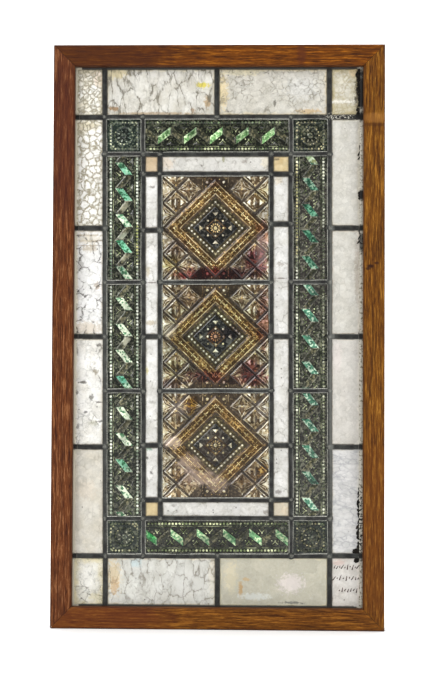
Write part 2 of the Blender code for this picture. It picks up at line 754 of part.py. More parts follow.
def main():
    clear_scene()
    window = bpy.data.objects.new("window", None)
    bpy.context.scene.collection.objects.link(window)
    wood = material("walnut", (0.23, 0.09, 0.035), 0.45)
    bead_wood = material("bead walnut", (0.18, 0.075, 0.03), 0.6)
    lead = material("lead", (0.075, 0.08, 0.085), 0.55, 0.4)
    glasses = {
        "white": material("white opal glass", (0.80, 0.78, 0.73), 0.2),
        "liner": material("liner opal glass", (0.85, 0.84, 0.82), 0.15),
        "cream": material("cream opal glass", (0.72, 0.58, 0.40), 0.2),
        "tile": material("amber pressed glass", (0.34, 0.22, 0.09), 0.12),
        "green": material("green pressed glass", (0.035, 0.12, 0.08), 0.12),
    }
    panes = list_panes()
    build_frame(wood, window)
    build_glazing_beads(bead_wood, window)
    build_lattice(panes, lead, window)
    for pane in panes:
        build_pane(pane, glasses.get(pane["kind"], glasses["green"]), window)


main()
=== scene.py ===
# %% [markdown]
# # A leaded glass window in a walnut frame
# The window hangs in a light opening, so it has no moving parts: a mitred frame, a lattice of lead
# and forty-five pieces of glass. The solids of all of them are loaded first. This lesson then adds what
# solids are too coarse for, such as beads and facets in the pressed glass, and the finish of each piece.
# Everything is in metres, the window faces -Y and its underside stands at height zero.

# %% Load the solid window
import math

import bpy
from mathutils import Matrix, Vector


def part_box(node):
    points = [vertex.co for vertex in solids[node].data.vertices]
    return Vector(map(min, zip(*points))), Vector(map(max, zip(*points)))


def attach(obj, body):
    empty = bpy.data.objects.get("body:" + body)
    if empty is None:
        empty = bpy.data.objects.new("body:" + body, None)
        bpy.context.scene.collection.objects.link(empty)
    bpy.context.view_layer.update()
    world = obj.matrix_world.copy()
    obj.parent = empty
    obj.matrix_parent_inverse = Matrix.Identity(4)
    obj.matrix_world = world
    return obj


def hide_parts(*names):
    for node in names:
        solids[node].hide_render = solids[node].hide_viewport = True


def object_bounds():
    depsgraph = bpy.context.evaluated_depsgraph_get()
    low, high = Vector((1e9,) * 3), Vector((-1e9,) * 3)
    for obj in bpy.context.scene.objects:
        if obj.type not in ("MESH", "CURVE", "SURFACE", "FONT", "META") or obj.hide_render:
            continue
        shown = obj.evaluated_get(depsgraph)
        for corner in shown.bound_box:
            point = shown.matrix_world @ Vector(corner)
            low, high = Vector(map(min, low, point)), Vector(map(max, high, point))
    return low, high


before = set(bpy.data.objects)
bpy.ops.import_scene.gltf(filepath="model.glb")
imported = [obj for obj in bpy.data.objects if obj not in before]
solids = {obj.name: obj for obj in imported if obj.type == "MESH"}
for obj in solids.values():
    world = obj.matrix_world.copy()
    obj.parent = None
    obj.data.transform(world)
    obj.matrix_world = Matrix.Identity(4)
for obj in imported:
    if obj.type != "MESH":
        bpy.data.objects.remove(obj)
solid_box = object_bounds()
MM = 0.001
print(len(solids), "solids, window size in mm:", [round((b - a) / MM, 1) for a, b in zip(*solid_box)])

# %% [markdown]
# The camera stands 1.6 m away, a little right of the middle and below it, and is turned slightly back
# towards the window. A long lens keeps the frame nearly square. The same values could be found by hand, by
# moving the camera until the frame's four corners fall in place.

# %% Camera
camera_data = bpy.data.cameras.new("long lens")
camera_data.sensor_width = 36
camera_data.lens = 81.57
camera = bpy.data.objects.new("camera", camera_data)
camera.location = (0.0473, -1.6162, 0.2638)
camera.rotation_euler = [math.radians(angle) for angle in (91.51, -0.242, 1.751)]
bpy.context.scene.collection.objects.link(camera)
bpy.context.scene.camera = camera
print("camera lens", camera_data.lens, "mm at", [round(v, 3) for v in camera.location])

# %% [markdown]
# A photographer sets such a window on a sheet of white paper that curves up behind it, so no corner shows.
# The sheet is a plane with its far edge extruded upwards and the fold bevelled round. Flat glass mirrors what
# stands in front of it, so the room there is kept dim. Two large soft lamps stand far to the sides, where
# only beads, facets and rounded leads catch them, and two more above whiten the paper near the window and
# far behind it. The view is the plain standard one, so that a colour comes out as it was mixed.

# %% Paper sweep and soft light
bpy.ops.object.select_all(action="DESELECT")
bpy.ops.mesh.primitive_plane_add(size=1, location=(0, 0, -0.0003))
paper = bpy.context.active_object
paper.name = "paper_sweep"
bpy.ops.object.mode_set(mode="EDIT")
bpy.ops.transform.resize(value=(9, 6.4, 1))
bpy.ops.transform.translate(value=(0, 0.2, 0))
bpy.ops.mesh.select_mode(type="EDGE")
bpy.ops.mesh.select_all(action="DESELECT")
bpy.ops.object.mode_set(mode="OBJECT")
for edge in paper.data.edges:
    edge.select = all(paper.data.vertices[i].co.y > 1 for i in edge.vertices)
bpy.ops.object.mode_set(mode="EDIT")
bpy.ops.mesh.extrude_region_move(TRANSFORM_OT_translate={"value": (0, 0, 4)})
bpy.ops.mesh.select_all(action="DESELECT")
bpy.ops.object.mode_set(mode="OBJECT")
for edge in paper.data.edges:
    ends = [paper.data.vertices[i].co for i in edge.vertices]
    edge.select = all(end.y > 1 and end.z < 0.1 for end in ends)
bpy.ops.object.mode_set(mode="EDIT")
bpy.ops.mesh.bevel(offset=0.7, segments=12)
bpy.ops.object.mode_set(mode="OBJECT")
bpy.ops.object.shade_smooth()
paper_white = bpy.data.materials.new("paper")
paper_white.use_nodes = True
paper_white.node_tree.nodes["Principled BSDF"].inputs["Base Color"].default_value = (0.93, 0.93, 0.93, 1.0)
paper_white.node_tree.nodes["Principled BSDF"].inputs["Roughness"].default_value = 0.9
paper.data.materials.append(paper_white)

world = bpy.data.worlds.new("white surrounding")
world.use_nodes = True
world.node_tree.nodes["Background"].inputs["Color"].default_value = (1.0, 1.0, 1.0, 1.0)
world.node_tree.nodes["Background"].inputs["Strength"].default_value = 0.315
bpy.context.scene.world = world
bpy.context.scene.view_settings.view_transform = "Standard"


def soft_lamp(name, place, aim, size, power):
    """A square lamp of that size in metres, turned to face the point that it aims at."""
    lamp = bpy.data.lights.new(name, "AREA")
    lamp.shape = "SQUARE"
    lamp.size = size
    lamp.energy = power
    made = bpy.data.objects.new(name, lamp)
    made.location = place
    made.visible_camera = False
    made.rotation_euler = (Vector(aim) - Vector(place)).to_track_quat("-Z", "Y").to_euler()
    bpy.context.scene.collection.objects.link(made)


soft_lamp("left lamp", (-1.5, -1.5, 1.6), (0, 0, 0.3), 1.1, 35)
soft_lamp("right lamp", (1.7, -1.5, 0.9), (0, 0, 0.3), 1.1, 21)
soft_lamp("paper lamp", (0, 0.35, 2.3), (0, 1.2, 0.2), 1.6, 60)
soft_lamp("far paper lamp", (0, 1.7, 2.8), (0, 3.2, 0.8), 2.2, 120)
print("paper with", len(paper.data.polygons), "faces and four soft lamps")

# %% [markdown]
# Some small helpers for work by hand. Operators act on whatever is selected, so one helper selects a single
# object, and two others go into edit mode with chosen faces or corners, picked by their place or their
# normal. The pressed glass is made flat on a bench, in the XY plane with its relief upwards, because it is
# easier to think there, and is stood up in its place at the end.


# %% Helpers for the bench
def only(obj):
    """Makes obj the one selected and active object."""
    bpy.ops.object.select_all(action="DESELECT")
    obj.select_set(True)
    bpy.context.view_layer.objects.active = obj
    return obj


def edit_faces(obj, wanted):
    """Edit mode with just the faces selected whose centre and normal are wanted."""
    only(obj)
    bpy.ops.object.mode_set(mode="EDIT")
    bpy.ops.mesh.select_mode(type="FACE")
    bpy.ops.mesh.select_all(action="DESELECT")
    bpy.ops.object.mode_set(mode="OBJECT")
    for face in obj.data.polygons:
        face.select = bool(wanted(face.center, face.normal))
    bpy.ops.object.mode_set(mode="EDIT")


def edit_corners(obj, wanted):
    """Edit mode with just the vertices selected whose place is wanted."""
    only(obj)
    bpy.ops.object.mode_set(mode="EDIT")
    bpy.ops.mesh.select_mode(type="VERT")
    bpy.ops.mesh.select_all(action="DESELECT")
    bpy.ops.object.mode_set(mode="OBJECT")
    for corner in obj.data.vertices:
        corner.select = bool(wanted(corner.co))
    bpy.ops.object.mode_set(mode="EDIT")


def edit_all(obj):
    """Edit mode with all vertices selected."""
    edit_corners(obj, lambda co: True)


def enter_edit():
    bpy.ops.object.mode_set(mode="EDIT")


def leave_edit():
    bpy.ops.object.mode_set(mode="OBJECT")


def steps_up(steps):
    """From a selected face: each step moves the edge in and the face up, by the two distances given."""
    for inwards, up in steps:
        if inwards:
            bpy.ops.mesh.inset(thickness=inwards, depth=up)
        else:
            bpy.ops.mesh.extrude_region_move(TRANSFORM_OT_translate={"value": (0, 0, up)})


def hollowed(obj):
    """Deletes the selected inner face and the base, the largest face, and bridges the two open rims."""
    bpy.ops.mesh.delete(type="FACE")
    leave_edit()
    base = max(obj.data.polygons, key=lambda face: face.area).center.copy()
    edit_faces(obj, lambda centre, normal: (centre - base).length < 1e-7)
    bpy.ops.mesh.delete(type="FACE")
    bpy.ops.mesh.select_mode(type="EDGE")
    bpy.ops.mesh.select_non_manifold()
    bpy.ops.mesh.bridge_edge_loops()
    bpy.ops.mesh.select_all(action="SELECT")
    bpy.ops.mesh.normals_make_consistent(inside=False)
    leave_edit()


def one_mesh(name, parts):
    """Joins objects, with their places applied."""
    bpy.ops.object.select_all(action="DESELECT")
    for part in parts:
        part.select_set(True)
    bpy.context.view_layer.objects.active = parts[0]
    bpy.ops.object.join()
    bpy.ops.object.transform_apply(location=True, rotation=True, scale=True)
    parts[0].name = name
    parts[0].data.name = name
    return parts[0]


def placed(name, model, place=(0, 0, 0), turn=(0, 0, 0), size=(1, 1, 1)):
    """One copy of a model, with its own mesh."""
    copy = bpy.data.objects.new(name, model.data.copy())
    copy.location, copy.rotation_euler, copy.scale = place, turn, size
    bpy.context.scene.collection.objects.link(copy)
    return copy


def copies(name, model, places, turns=None):
    """Copies of a bench model at the places given, and turned in the plane, joined into one object."""
    turns = turns or [0] * len(places)
    return one_mesh(name, [placed(name, model, place, (0, 0, turn)) for place, turn in zip(places, turns)])


def named(obj, name, finish):
    """Names a bench model and gives it its finish."""
    obj.name = name
    obj.data.materials.append(finish)
    return obj


def clear_bench(*models):
    for model in models:
        bpy.data.objects.remove(model, do_unlink=True)


def triangles(obj):
    return sum(len(face.vertices) - 2 for face in obj.data.polygons)


print("bench is ready")

# %% [markdown]
# The glass is cut to the leads, so each piece's own corners say where its leads run. This helper reads them:
# the outermost corners of the solid, the middle, and the ways right and up, which lean a little because
# the window was leaded by hand. Sizes that the solids share with this lesson are named here once.

# %% Where the panes are
GLASS_FRONT = -3.2 * MM
PRESSED_FRONT = -3.3 * MM
PANEL_MIDDLE = -1.7 * MM
LEAD_FRONT = -4.7 * MM
GLASS_TO_LEAD_MIDDLE = 1.0 * MM
HALF_LEAD = 2.4 * MM
RELIEF_MARGIN = 0.4 * MM
FRAME_WIDTH = solid_box[1].x - solid_box[0].x
FRAME_HEIGHT = solid_box[1].z - solid_box[0].z
FRAME_FACE = 22.5 * MM
LIP_SHADE = 2.0 * MM
WINDOW_MIDDLE = (0.0, FRAME_HEIGHT / 2)
CLEAR_HALF_WIDTH, CLEAR_BOTTOM, CLEAR_TOP = 147.5 * MM, 28.0 * MM, 587.0 * MM
PARALLAX = 1.0067


def glass_corners(name):
    """The pane's outermost corners, as (x, z), from the lower left and round by the lower right."""
    points = [vert.co for vert in solids[name].data.vertices]
    found = []
    for right, up in ((-1, -1), (1, -1), (1, 1), (-1, 1)):
        corner = max(points, key=lambda point: right * point.x + up * point.z)
        found.append(Vector((corner.x, corner.z)))
    return found


def grown(corners, distance):
    """The same outline with each side moved outwards."""
    lines = []
    for i, start in enumerate(corners):
        along = (corners[(i + 1) % 4] - start).normalized()
        lines.append((start - Vector((-along.y, along.x)) * distance, along))
    moved = []
    for (start, along), (next_start, next_along) in zip(lines[-1:] + lines[:-1], lines):
        cross = along.x * next_along.y - along.y * next_along.x
        offset = next_start - start
        moved.append(start + along * (offset.x * next_along.y - offset.y * next_along.x) / cross)
    return moved


def pane_place(name):
    """A pane's middle, its ways right and up, and half the width and height that its relief may fill."""
    corners = grown(glass_corners(name), -(HALF_LEAD - GLASS_TO_LEAD_MIDDLE))
    middle = sum(corners, Vector((0.0, 0.0))) / 4
    right = (corners[1] - corners[0] + corners[2] - corners[3]).normalized()
    up = (corners[3] - corners[0] + corners[2] - corners[1]).normalized()
    width = min((corners[1] - corners[0]).length, (corners[2] - corners[3]).length)
    height = min((corners[3] - corners[0]).length, (corners[2] - corners[1]).length)
    return middle, right, up, width / 2 - RELIEF_MARGIN, height / 2 - RELIEF_MARGIN


def stood_up(obj, middle, right, up):
    """Takes relief off the bench: its X to the right, its Y upwards and its height towards the viewer."""
    place = Matrix((
        (right.x, up.x, 0, middle.x),
        (0, 0, -1, PRESSED_FRONT),
        (right.y, up.y, 0, middle.y),
        (0, 0, 0, 1),
    ))
    obj.data.transform(place)
    return obj


def seen_at(across, down):
    """The place on the glass of a point measured on the frame's front from its upper left corner, in mm."""
    x = across * MM - FRAME_WIDTH / 2
    z = FRAME_HEIGHT - down * MM
    return tuple(eye + (value - eye) * PARALLAX
                 for eye, value in ((camera.location.x, x), (camera.location.z, z)))


WHITE = sorted(name for name in solids if name.startswith("white_"))
LINER = sorted(name for name in solids if name.startswith("liner_") and "corner" not in name)
CREAM = sorted(name for name in solids if name.startswith("liner_corner_"))
STRIPS = sorted(name for name in solids if name.startswith("green_") and "corner" not in name)
ROSETTES = sorted(name for name in solids if name.startswith("green_corner_"))
TILES = ("tile_top", "tile_middle", "tile_bottom")
PANES = WHITE + LINER + CREAM + STRIPS + ROSETTES + list(TILES)
print(len(PANES), "panes, the middle tile's middle at",
      [round(v / MM, 1) for v in pane_place("tile_middle")[0]])

# %% [markdown]
# Finishes are made of nodes. These helpers add one node at a time and link or set its inputs, so that a
# finish reads from top to bottom like a recipe: a colour is named by the red, green and blue that a paint
# chart would give, one layer is laid over another, and a value is turned into a mask with soft ends.


# %% Helpers for finishes
def paint(red, green, blue):
    """A colour from chart values of 0 to 255, as the linear values that shaders work in."""
    linear = []
    for value in (red, green, blue):
        share = value / 255
        linear.append(share / 12.92 if share <= 0.04045 else ((share + 0.055) / 1.055) ** 2.4)
    return (*linear, 1.0)


def put(tree, kind, sockets=None, **settings):
    """Adds a node with its settings, and links or sets the input sockets named; colours are chart values."""
    made = tree.nodes.new(kind)
    for name, value in settings.items():
        setattr(made, name, value)
    for name, value in (sockets or {}).items():
        if isinstance(value, bpy.types.NodeSocket):
            tree.links.new(value, made.inputs[name])
        elif made.inputs[name].type == "RGBA" and len(value) == 3:
            made.inputs[name].default_value = paint(*value)
        else:
            made.inputs[name].default_value = value
    return made


def calc(tree, operation, first, second=0.0):
    return put(tree, "ShaderNodeMath", {0: first, 1: second}, operation=operation).outputs[0]


def times(tree, first, second):
    return calc(tree, "MULTIPLY", first, second)


def plus(tree, first, second):
    return calc(tree, "ADD", first, second)


def minus(tree, first, second):
    return calc(tree, "SUBTRACT", first, second)


def axis_of(tree, vector, axis):
    """One of the three values of a place or a colour."""
    return put(tree, "ShaderNodeSeparateXYZ", {0: vector}).outputs[axis]


def fac(tree, place, *look):
    """The plain value of a noise."""
    return noise(tree, place, *look).outputs["Fac"]


def grey(tree, value):
    """The same value in all three channels."""
    return put(tree, "ShaderNodeCombineXYZ", {0: value, 1: value, 2: value}).outputs[0]


def over(tree, share, under, top, mode="MIX"):
    """One colour laid over another by a share from 0 to 1."""
    mixed = put(tree, "ShaderNodeMix", {0: share, 6: under, 7: top}, data_type="RGBA", blend_type=mode)
    return mixed.outputs[2]


def soft_step(tree, value, start, end, low=0.0, high=1.0):
    sockets = {"Value": value, "From Min": start, "From Max": end, "To Min": low, "To Max": high}
    return put(tree, "ShaderNodeMapRange", sockets, interpolation_type="SMOOTHSTEP").outputs["Result"]


def noise(tree, place, scale, detail, rough=0.55, distortion=0.0):
    sockets = {"Vector": place, "Scale": scale, "Detail": detail, "Roughness": rough,
               "Distortion": distortion}
    return put(tree, "ShaderNodeTexNoise", sockets)


def new_group(name, inputs, outputs):
    """An empty node group with named sockets, and its input and output nodes."""
    group = bpy.data.node_groups.new(name, "ShaderNodeTree")
    for title, kind, value in inputs:
        socket = group.interface.new_socket(title, in_out="INPUT", socket_type=kind)
        if value is not None:
            socket.default_value = value
    for title, kind in outputs:
        group.interface.new_socket(title, in_out="OUTPUT", socket_type=kind)
    return group, group.nodes.new("NodeGroupInput").outputs, group.nodes.new("NodeGroupOutput").inputs


def use(tree, group, sockets):
    """Places a group in a finish, with values of its own."""
    return put(tree, "ShaderNodeGroup", sockets, node_tree=group).outputs


def new_finish(name, roughness, metallic=0.0):
    """A material with its shader and the place on the window that patterns are laid out by."""
    made = bpy.data.materials.new(name)
    made.use_nodes = True
    tree = made.node_tree
    shader = tree.nodes["Principled BSDF"]
    shader.inputs["Roughness"].default_value = roughness
    shader.inputs["Metallic"].default_value = metallic
    place = put(tree, "ShaderNodeTexCoord").outputs["Object"]
    return made, tree, shader, place


def bump(tree, shader, height, depth, strength):
    sockets = {"Height": height, "Distance": depth, "Strength": strength}
    tree.links.new(put(tree, "ShaderNodeBump", sockets).outputs["Normal"], shader.inputs["Normal"])


FLOAT, COLOUR, PLACE = "NodeSocketFloat", "NodeSocketColor", "NodeSocketVector"
print("finish helpers are ready")

# %% [markdown]
# Four effects come back on many panes, so each is a node group with named inputs. A stain is a soft spot
# with a ragged edge. The edge band is a ragged band along a rectangle's four edges; it gives grime along a
# pane's edges against the lead, and also painted shade: on the frame's outer arrises, inside its lip, on the
# leads beside the frame and on the glass right against the lead. Crackle is the net of fine lines in old
# painted or fired glass, from a Voronoi pattern whose cells are warped so that none is regular. Specks are
# small dark bubbles or grains, with few cells chosen among many. Stain and edge band come back most, so
# each also has a function that places its group.

# %% Shared effects: stain, grime, crackle, specks
stain_group, given, result = new_group(
    "stain",
    [("Place", PLACE, None), ("X", FLOAT, 0.0), ("Z", FLOAT, 0.0), ("Half Width", FLOAT, 0.01),
     ("Half Height", FLOAT, 0.01), ("Raggedness", FLOAT, 0.8), ("Grain", FLOAT, 300.0)],
    [("Mask", FLOAT)],
)
tree = stain_group
axes = put(tree, "ShaderNodeSeparateXYZ", {0: given["Place"]}).outputs
side = calc(tree, "DIVIDE", minus(tree, axes["X"], given["X"]), given["Half Width"])
rise = calc(tree, "DIVIDE", minus(tree, axes["Z"], given["Z"]), given["Half Height"])
away = calc(tree, "SQRT", plus(tree, times(tree, side, side), times(tree, rise, rise)))
ragged = minus(tree, fac(tree, given["Place"], given["Grain"], 4.0, 0.65), 0.5)
away = plus(tree, away, times(tree, ragged, times(tree, given["Raggedness"], 2.0)))
tree.links.new(soft_step(tree, away, 0.45, 1.1, 1.0, 0.0), result["Mask"])

grime_and_shade_group, given, result = new_group(
    "grime and painted shade along the edges",
    [("Place", PLACE, None), ("X", FLOAT, 0.0), ("Z", FLOAT, 0.0), ("Half Width", FLOAT, 0.01),
     ("Half Height", FLOAT, 0.01), ("Reach", FLOAT, 0.005), ("Raggedness", FLOAT, 1.0)],
    [("Mask", FLOAT)],
)
tree = grime_and_shade_group
axes = put(tree, "ShaderNodeSeparateXYZ", {0: given["Place"]}).outputs
to_side = minus(tree, given["Half Width"], calc(tree, "ABSOLUTE", minus(tree, axes["X"], given["X"])))
to_end = minus(tree, given["Half Height"], calc(tree, "ABSOLUTE", minus(tree, axes["Z"], given["Z"])))
nearest = calc(tree, "DIVIDE", calc(tree, "MINIMUM", to_side, to_end), given["Reach"])
ragged = minus(tree, fac(tree, given["Place"], 130.0, 5.0, 0.65), 0.5)
nearest = plus(tree, nearest, times(tree, ragged, times(tree, given["Raggedness"], 2.5)))
tree.links.new(soft_step(tree, nearest, 0.0, 1.0, 1.0, 0.0), result["Mask"])

crackle_group, given, result = new_group(
    "crackle",
    [("Place", PLACE, None), ("Cells Per Metre", FLOAT, 150.0), ("Line Width", FLOAT, 0.08),
     ("Warp", FLOAT, 0.003), ("Gaps", FLOAT, 0.5), ("Fine Share", FLOAT, 0.5)],
    [("Line", FLOAT), ("Cell Tone", FLOAT)],
)
tree = crackle_group
bend = times(tree, given["Cells Per Metre"], 1.5)
drift = put(tree, "ShaderNodeVectorMath", {0: noise(tree, given["Place"], bend, 3.0).outputs["Color"],
                                           1: (0.5, 0.5, 0.5)}, operation="SUBTRACT").outputs[0]
quiver = put(tree, "ShaderNodeVectorMath", {0: noise(tree, given["Place"], 560.0, 3.0).outputs["Color"],
                                            1: (0.5, 0.5, 0.5)}, operation="SUBTRACT").outputs[0]
drift = put(tree, "ShaderNodeVectorMath", {0: quiver, 1: (0.3, 0.3, 0.3), 2: drift},
            operation="MULTIPLY_ADD").outputs[0]
drift = put(tree, "ShaderNodeVectorMath", {0: drift}, operation="SCALE")
tree.links.new(given["Warp"], drift.inputs["Scale"])
warped = put(tree, "ShaderNodeVectorMath", {0: given["Place"], 1: drift.outputs[0]},
             operation="ADD").outputs[0]
flat = put(tree, "ShaderNodeVectorMath", {0: warped, 1: (1.0, 0.0, 1.0)}, operation="MULTIPLY").outputs[0]
net = put(tree, "ShaderNodeTexVoronoi", {"Vector": flat, "Scale": given["Cells Per Metre"]},
          feature="DISTANCE_TO_EDGE").outputs["Distance"]
cell = put(tree, "ShaderNodeTexVoronoi", {"Vector": flat, "Scale": given["Cells Per Metre"]}).outputs["Color"]
finer = put(tree, "ShaderNodeTexVoronoi",
            {"Vector": flat, "Scale": times(tree, given["Cells Per Metre"], 2.4)},
            feature="DISTANCE_TO_EDGE").outputs["Distance"]
line = soft_step(tree, net, times(tree, given["Line Width"], 0.15), given["Line Width"], 1.0, 0.0)
shadow = soft_step(tree, net, 0.0, times(tree, given["Line Width"], 2.6), 0.30, 0.0)
line = calc(tree, "MAXIMUM", line, shadow)
patch = soft_step(tree, fac(tree, given["Place"], 90.0, 4.0),
                  minus(tree, given["Gaps"], 0.12), plus(tree, given["Gaps"], 0.12))
fine_line = soft_step(tree, finer, 0.0, times(tree, given["Line Width"], 1.7), 1.0, 0.0)
fine_patch = soft_step(tree, fac(tree, given["Place"], 150.0, 5.0), 0.42, 0.62)
fine_line = times(tree, times(tree, fine_line, fine_patch), given["Fine Share"])
line = calc(tree, "MAXIMUM", times(tree, line, patch), fine_line)
broken = soft_step(tree, fac(tree, given["Place"], 330.0, 3.0, 0.6), 0.34, 0.54, 0.5, 1.0)
tree.links.new(times(tree, line, broken), result["Line"])
tree.links.new(axis_of(tree, cell, "X"), result["Cell Tone"])

speck_group, given, result = new_group(
    "specks",
    [("Place", PLACE, None), ("Per Metre", FLOAT, 150.0), ("Size", FLOAT, 0.15), ("Share", FLOAT, 0.1)],
    [("Mask", FLOAT)],
)
tree = speck_group
grains = put(tree, "ShaderNodeTexVoronoi", {"Vector": given["Place"], "Scale": given["Per Metre"]})
chosen = axis_of(tree, grains.outputs["Color"], "X")
near = soft_step(tree, grains.outputs["Distance"], times(tree, given["Size"], 0.5), given["Size"], 1.0, 0.0)
tree.links.new(times(tree, near, calc(tree, "LESS_THAN", chosen, given["Share"])), result["Mask"])


def spot(tree, place, middle, half_width, half_height, raggedness, grain=300.0):
    """The mask of one stain round a middle, which is an (x, z) on the window."""
    return use(tree, stain_group, {"Place": place, "X": middle[0], "Z": middle[1], "Half Width": half_width,
                                   "Half Height": half_height, "Raggedness": raggedness,
                                   "Grain": grain})["Mask"]


def edge_band(tree, place, middle, half_width, half_height, reach, raggedness):
    """The mask of a band inside the edges of a rectangle, used for grime and for painted shade."""
    return use(tree, grime_and_shade_group, {"Place": place, "X": middle[0], "Z": middle[1], "Half Width": half_width,
                                   "Half Height": half_height, "Reach": reach,
                                   "Raggedness": raggedness})["Mask"]


print("groups:", ", ".join(group.name for group in (stain_group, grime_and_shade_group, crackle_group, speck_group)))

# %% [markdown]
# Walnut is brown with darker growth lines along the board and short dark pores. The pattern is a noise
# squeezed across the board and stretched along it, so each member gets its own direction. The left member
# of this frame is a darker reddish brown and the right one a warm light brown. All four get painted shade
# along their outer arrises, and a painted shadow on the lip's inner side round the glass.

# %% Walnut
wood_group, given, result = new_group(
    "walnut grain",
    [("Place", PLACE, None), ("Fleck Place", PLACE, None), ("Dark", COLOUR, None), ("Middle", COLOUR, None),
     ("Light", COLOUR, None)],
    [("Color", COLOUR), ("Pores", FLOAT), ("Lines", FLOAT)],
)
tree = wood_group
lines = fac(tree, given["Place"], 420.0, 5.0, 0.7, 0.2)
flecks = fac(tree, given["Fleck Place"], 820.0, 4.0, 0.7)
pores = soft_step(tree, flecks, 0.52, 0.64)
colour = over(tree, soft_step(tree, flecks, 0.36, 0.48, 1.0, 0.0), given["Middle"], given["Light"])
colour = over(tree, times(tree, soft_step(tree, lines, 0.46, 0.62), 0.6), colour, given["Dark"])
colour = over(tree, times(tree, pores, 0.9), colour, given["Dark"])
tree.links.new(colour, result["Color"])
tree.links.new(pores, result["Pores"])
tree.links.new(lines, result["Lines"])


def walnut(name, along, dark, middle, light, offset, stains=()):
    """Walnut with its grain along Z or X; stains are (x, z, half width, half height, colour, share)."""
    made, tree, shader, place = new_finish(name, 0.48)
    shader.inputs["Specular IOR Level"].default_value = 0.12
    squeeze = (1.0, 1.0, 0.04) if along == "Z" else (0.04, 1.0, 1.0)
    board = put(tree, "ShaderNodeMapping", {"Vector": place, "Location": offset, "Scale": squeeze}).outputs[0]
    short = [max(value, 0.075) for value in squeeze]
    fleck_board = put(tree, "ShaderNodeMapping",
                      {"Vector": place, "Location": offset, "Scale": short}).outputs[0]
    grain = use(tree, wood_group, {"Place": board, "Fleck Place": fleck_board, "Dark": dark, "Middle": middle,
                                   "Light": light})
    colour = grain["Color"]
    for x, z, half_width, half_height, tint, share in stains:
        mask = spot(tree, place, (x, z), half_width, half_height, 0.35, 120.0)
        colour = over(tree, times(tree, mask, share), colour, tint)
    # painted shade along the outer arrises of each member
    edge = edge_band(tree, place, WINDOW_MIDDLE, FRAME_WIDTH / 2, FRAME_HEIGHT / 2, 2.2 * MM, 0.5)
    colour = over(tree, times(tree, edge, 0.55), colour, (52, 24, 12))
    # painted shadow on the lip's inner side, more than the frame's face width in from the outer edge
    inner = edge_band(tree, place, WINDOW_MIDDLE, FRAME_WIDTH / 2 - (FRAME_FACE - LIP_SHADE),
                      FRAME_HEIGHT / 2 - (FRAME_FACE - LIP_SHADE), LIP_SHADE, 0.3)
    lip_shadow = times(tree, minus(tree, 1.0, inner), 0.5)
    colour = over(tree, lip_shadow, colour, (58, 27, 13))
    tree.links.new(colour, shader.inputs["Base Color"])
    dull = plus(tree, 0.42, times(tree, grain["Lines"], 0.22))
    tree.links.new(dull, shader.inputs["Roughness"])
    depth = minus(tree, times(tree, grain["Lines"], -0.35), grain["Pores"])
    bump(tree, shader, depth, 0.00012, 0.6)
    return made


walnuts = {
    "frame_left": walnut("dark walnut", "Z", (48, 18, 6), (96, 51, 22), (140, 92, 56),
                         (0.3, 0.0, 0.0), [(-0.164, 0.52, 0.016, 0.11, (70, 30, 20), 0.5)]),
    "frame_right": walnut("warm walnut", "Z", (54, 26, 2), (106, 63, 12), (152, 104, 36),
                          (0.7, 0.0, 0.13), [(0.1600, 0.3810, 0.0048, 0.0026, (40, 18, 8), 0.95),
                                             (0.1575, 0.3784, 0.0036, 0.0020, (44, 20, 8), 0.8),
                                             (0.1660, 0.3842, 0.0034, 0.0018, (48, 22, 10), 0.8),
                                             (0.164, 0.530, 0.02, 0.0025, (62, 32, 10), 0.5),
                                             (0.164, 0.537, 0.02, 0.006, (160, 110, 54), 0.35),
                                             (0.164, 0.10, 0.02, 0.13, (96, 48, 10), 0.35)]),
    "frame_top": walnut("turning walnut", "X", (50, 22, 2), (106, 56, 6), (150, 90, 20),
                        (0.1, 0.0, 0.5), [(-0.14, 0.603, 0.12, 0.024, (58, 26, 10), 0.75),
                                          (0.087, 0.604, 0.006, 0.014, (78, 36, 16), 0.7)]),
    "frame_bottom": walnut("brown walnut", "X", (52, 24, 2), (108, 63, 14), (152, 98, 32),
                           (0.2, 0.0, 0.9), [(-0.12, 0.011, 0.09, 0.02, (96, 44, 22), 0.5)]),
}
bead_walnut = {
    "Z": walnut("upright bead walnut", "Z", (60, 30, 15), (98, 54, 28), (118, 70, 38), (0.4, 0.2, 0.0)),
    "X": walnut("level bead walnut", "X", (60, 30, 15), (98, 54, 28), (118, 70, 38), (0.9, 0.1, 0.2)),
}
for side, finish in walnuts.items():
    solids[side].material_slots[0].material = finish
for side, along in (("top", "X"), ("bottom", "X"), ("left", "Z"), ("right", "Z")):
    solids[f"glazing_bead_{side}"].material_slots[0].material = bead_walnut[along]
print(len(walnuts), "frame members and four glazing beads in walnut")

# %% [markdown]
# Lead is pale when fresh and turns a dark grey. Each lead gets a painted highlight, a thin light line along
# its crown, strong beside the pressed glass, which stands a little proud, and faint beside the flat panes;
# the solder drops get one on their tops. The metal is soft, so it is never quite smooth. Two upright leads
# are polished a little lighter over most of their length. Within a few millimetres of the frame the lead is
# darkened as painted shade under the frame's edge.
# Pale putty has spread over the upright leads beside the frame, between the ends of the level leads, and has
# gone black in four places on the right. One joint near the upper right corner was soldered roughly and is
# full of pits.

# %% Lead and solder
lead_patina_and_highlight_group, given, result = new_group(
    "lead patina and painted highlight",
    [("Place", PLACE, None), ("Crown", FLOAT, 0.0), ("Dark", COLOUR, None), ("Body", COLOUR, None),
     ("Highlight", COLOUR, None)],
    [("Color", COLOUR), ("Height", FLOAT)],
)
tree = lead_patina_and_highlight_group
cloud = fac(tree, given["Place"], 120.0, 5.0, 0.65)
fine = fac(tree, given["Place"], 900.0, 4.0, 0.6)
colour = over(tree, soft_step(tree, cloud, 0.36, 0.62), given["Body"], given["Dark"])
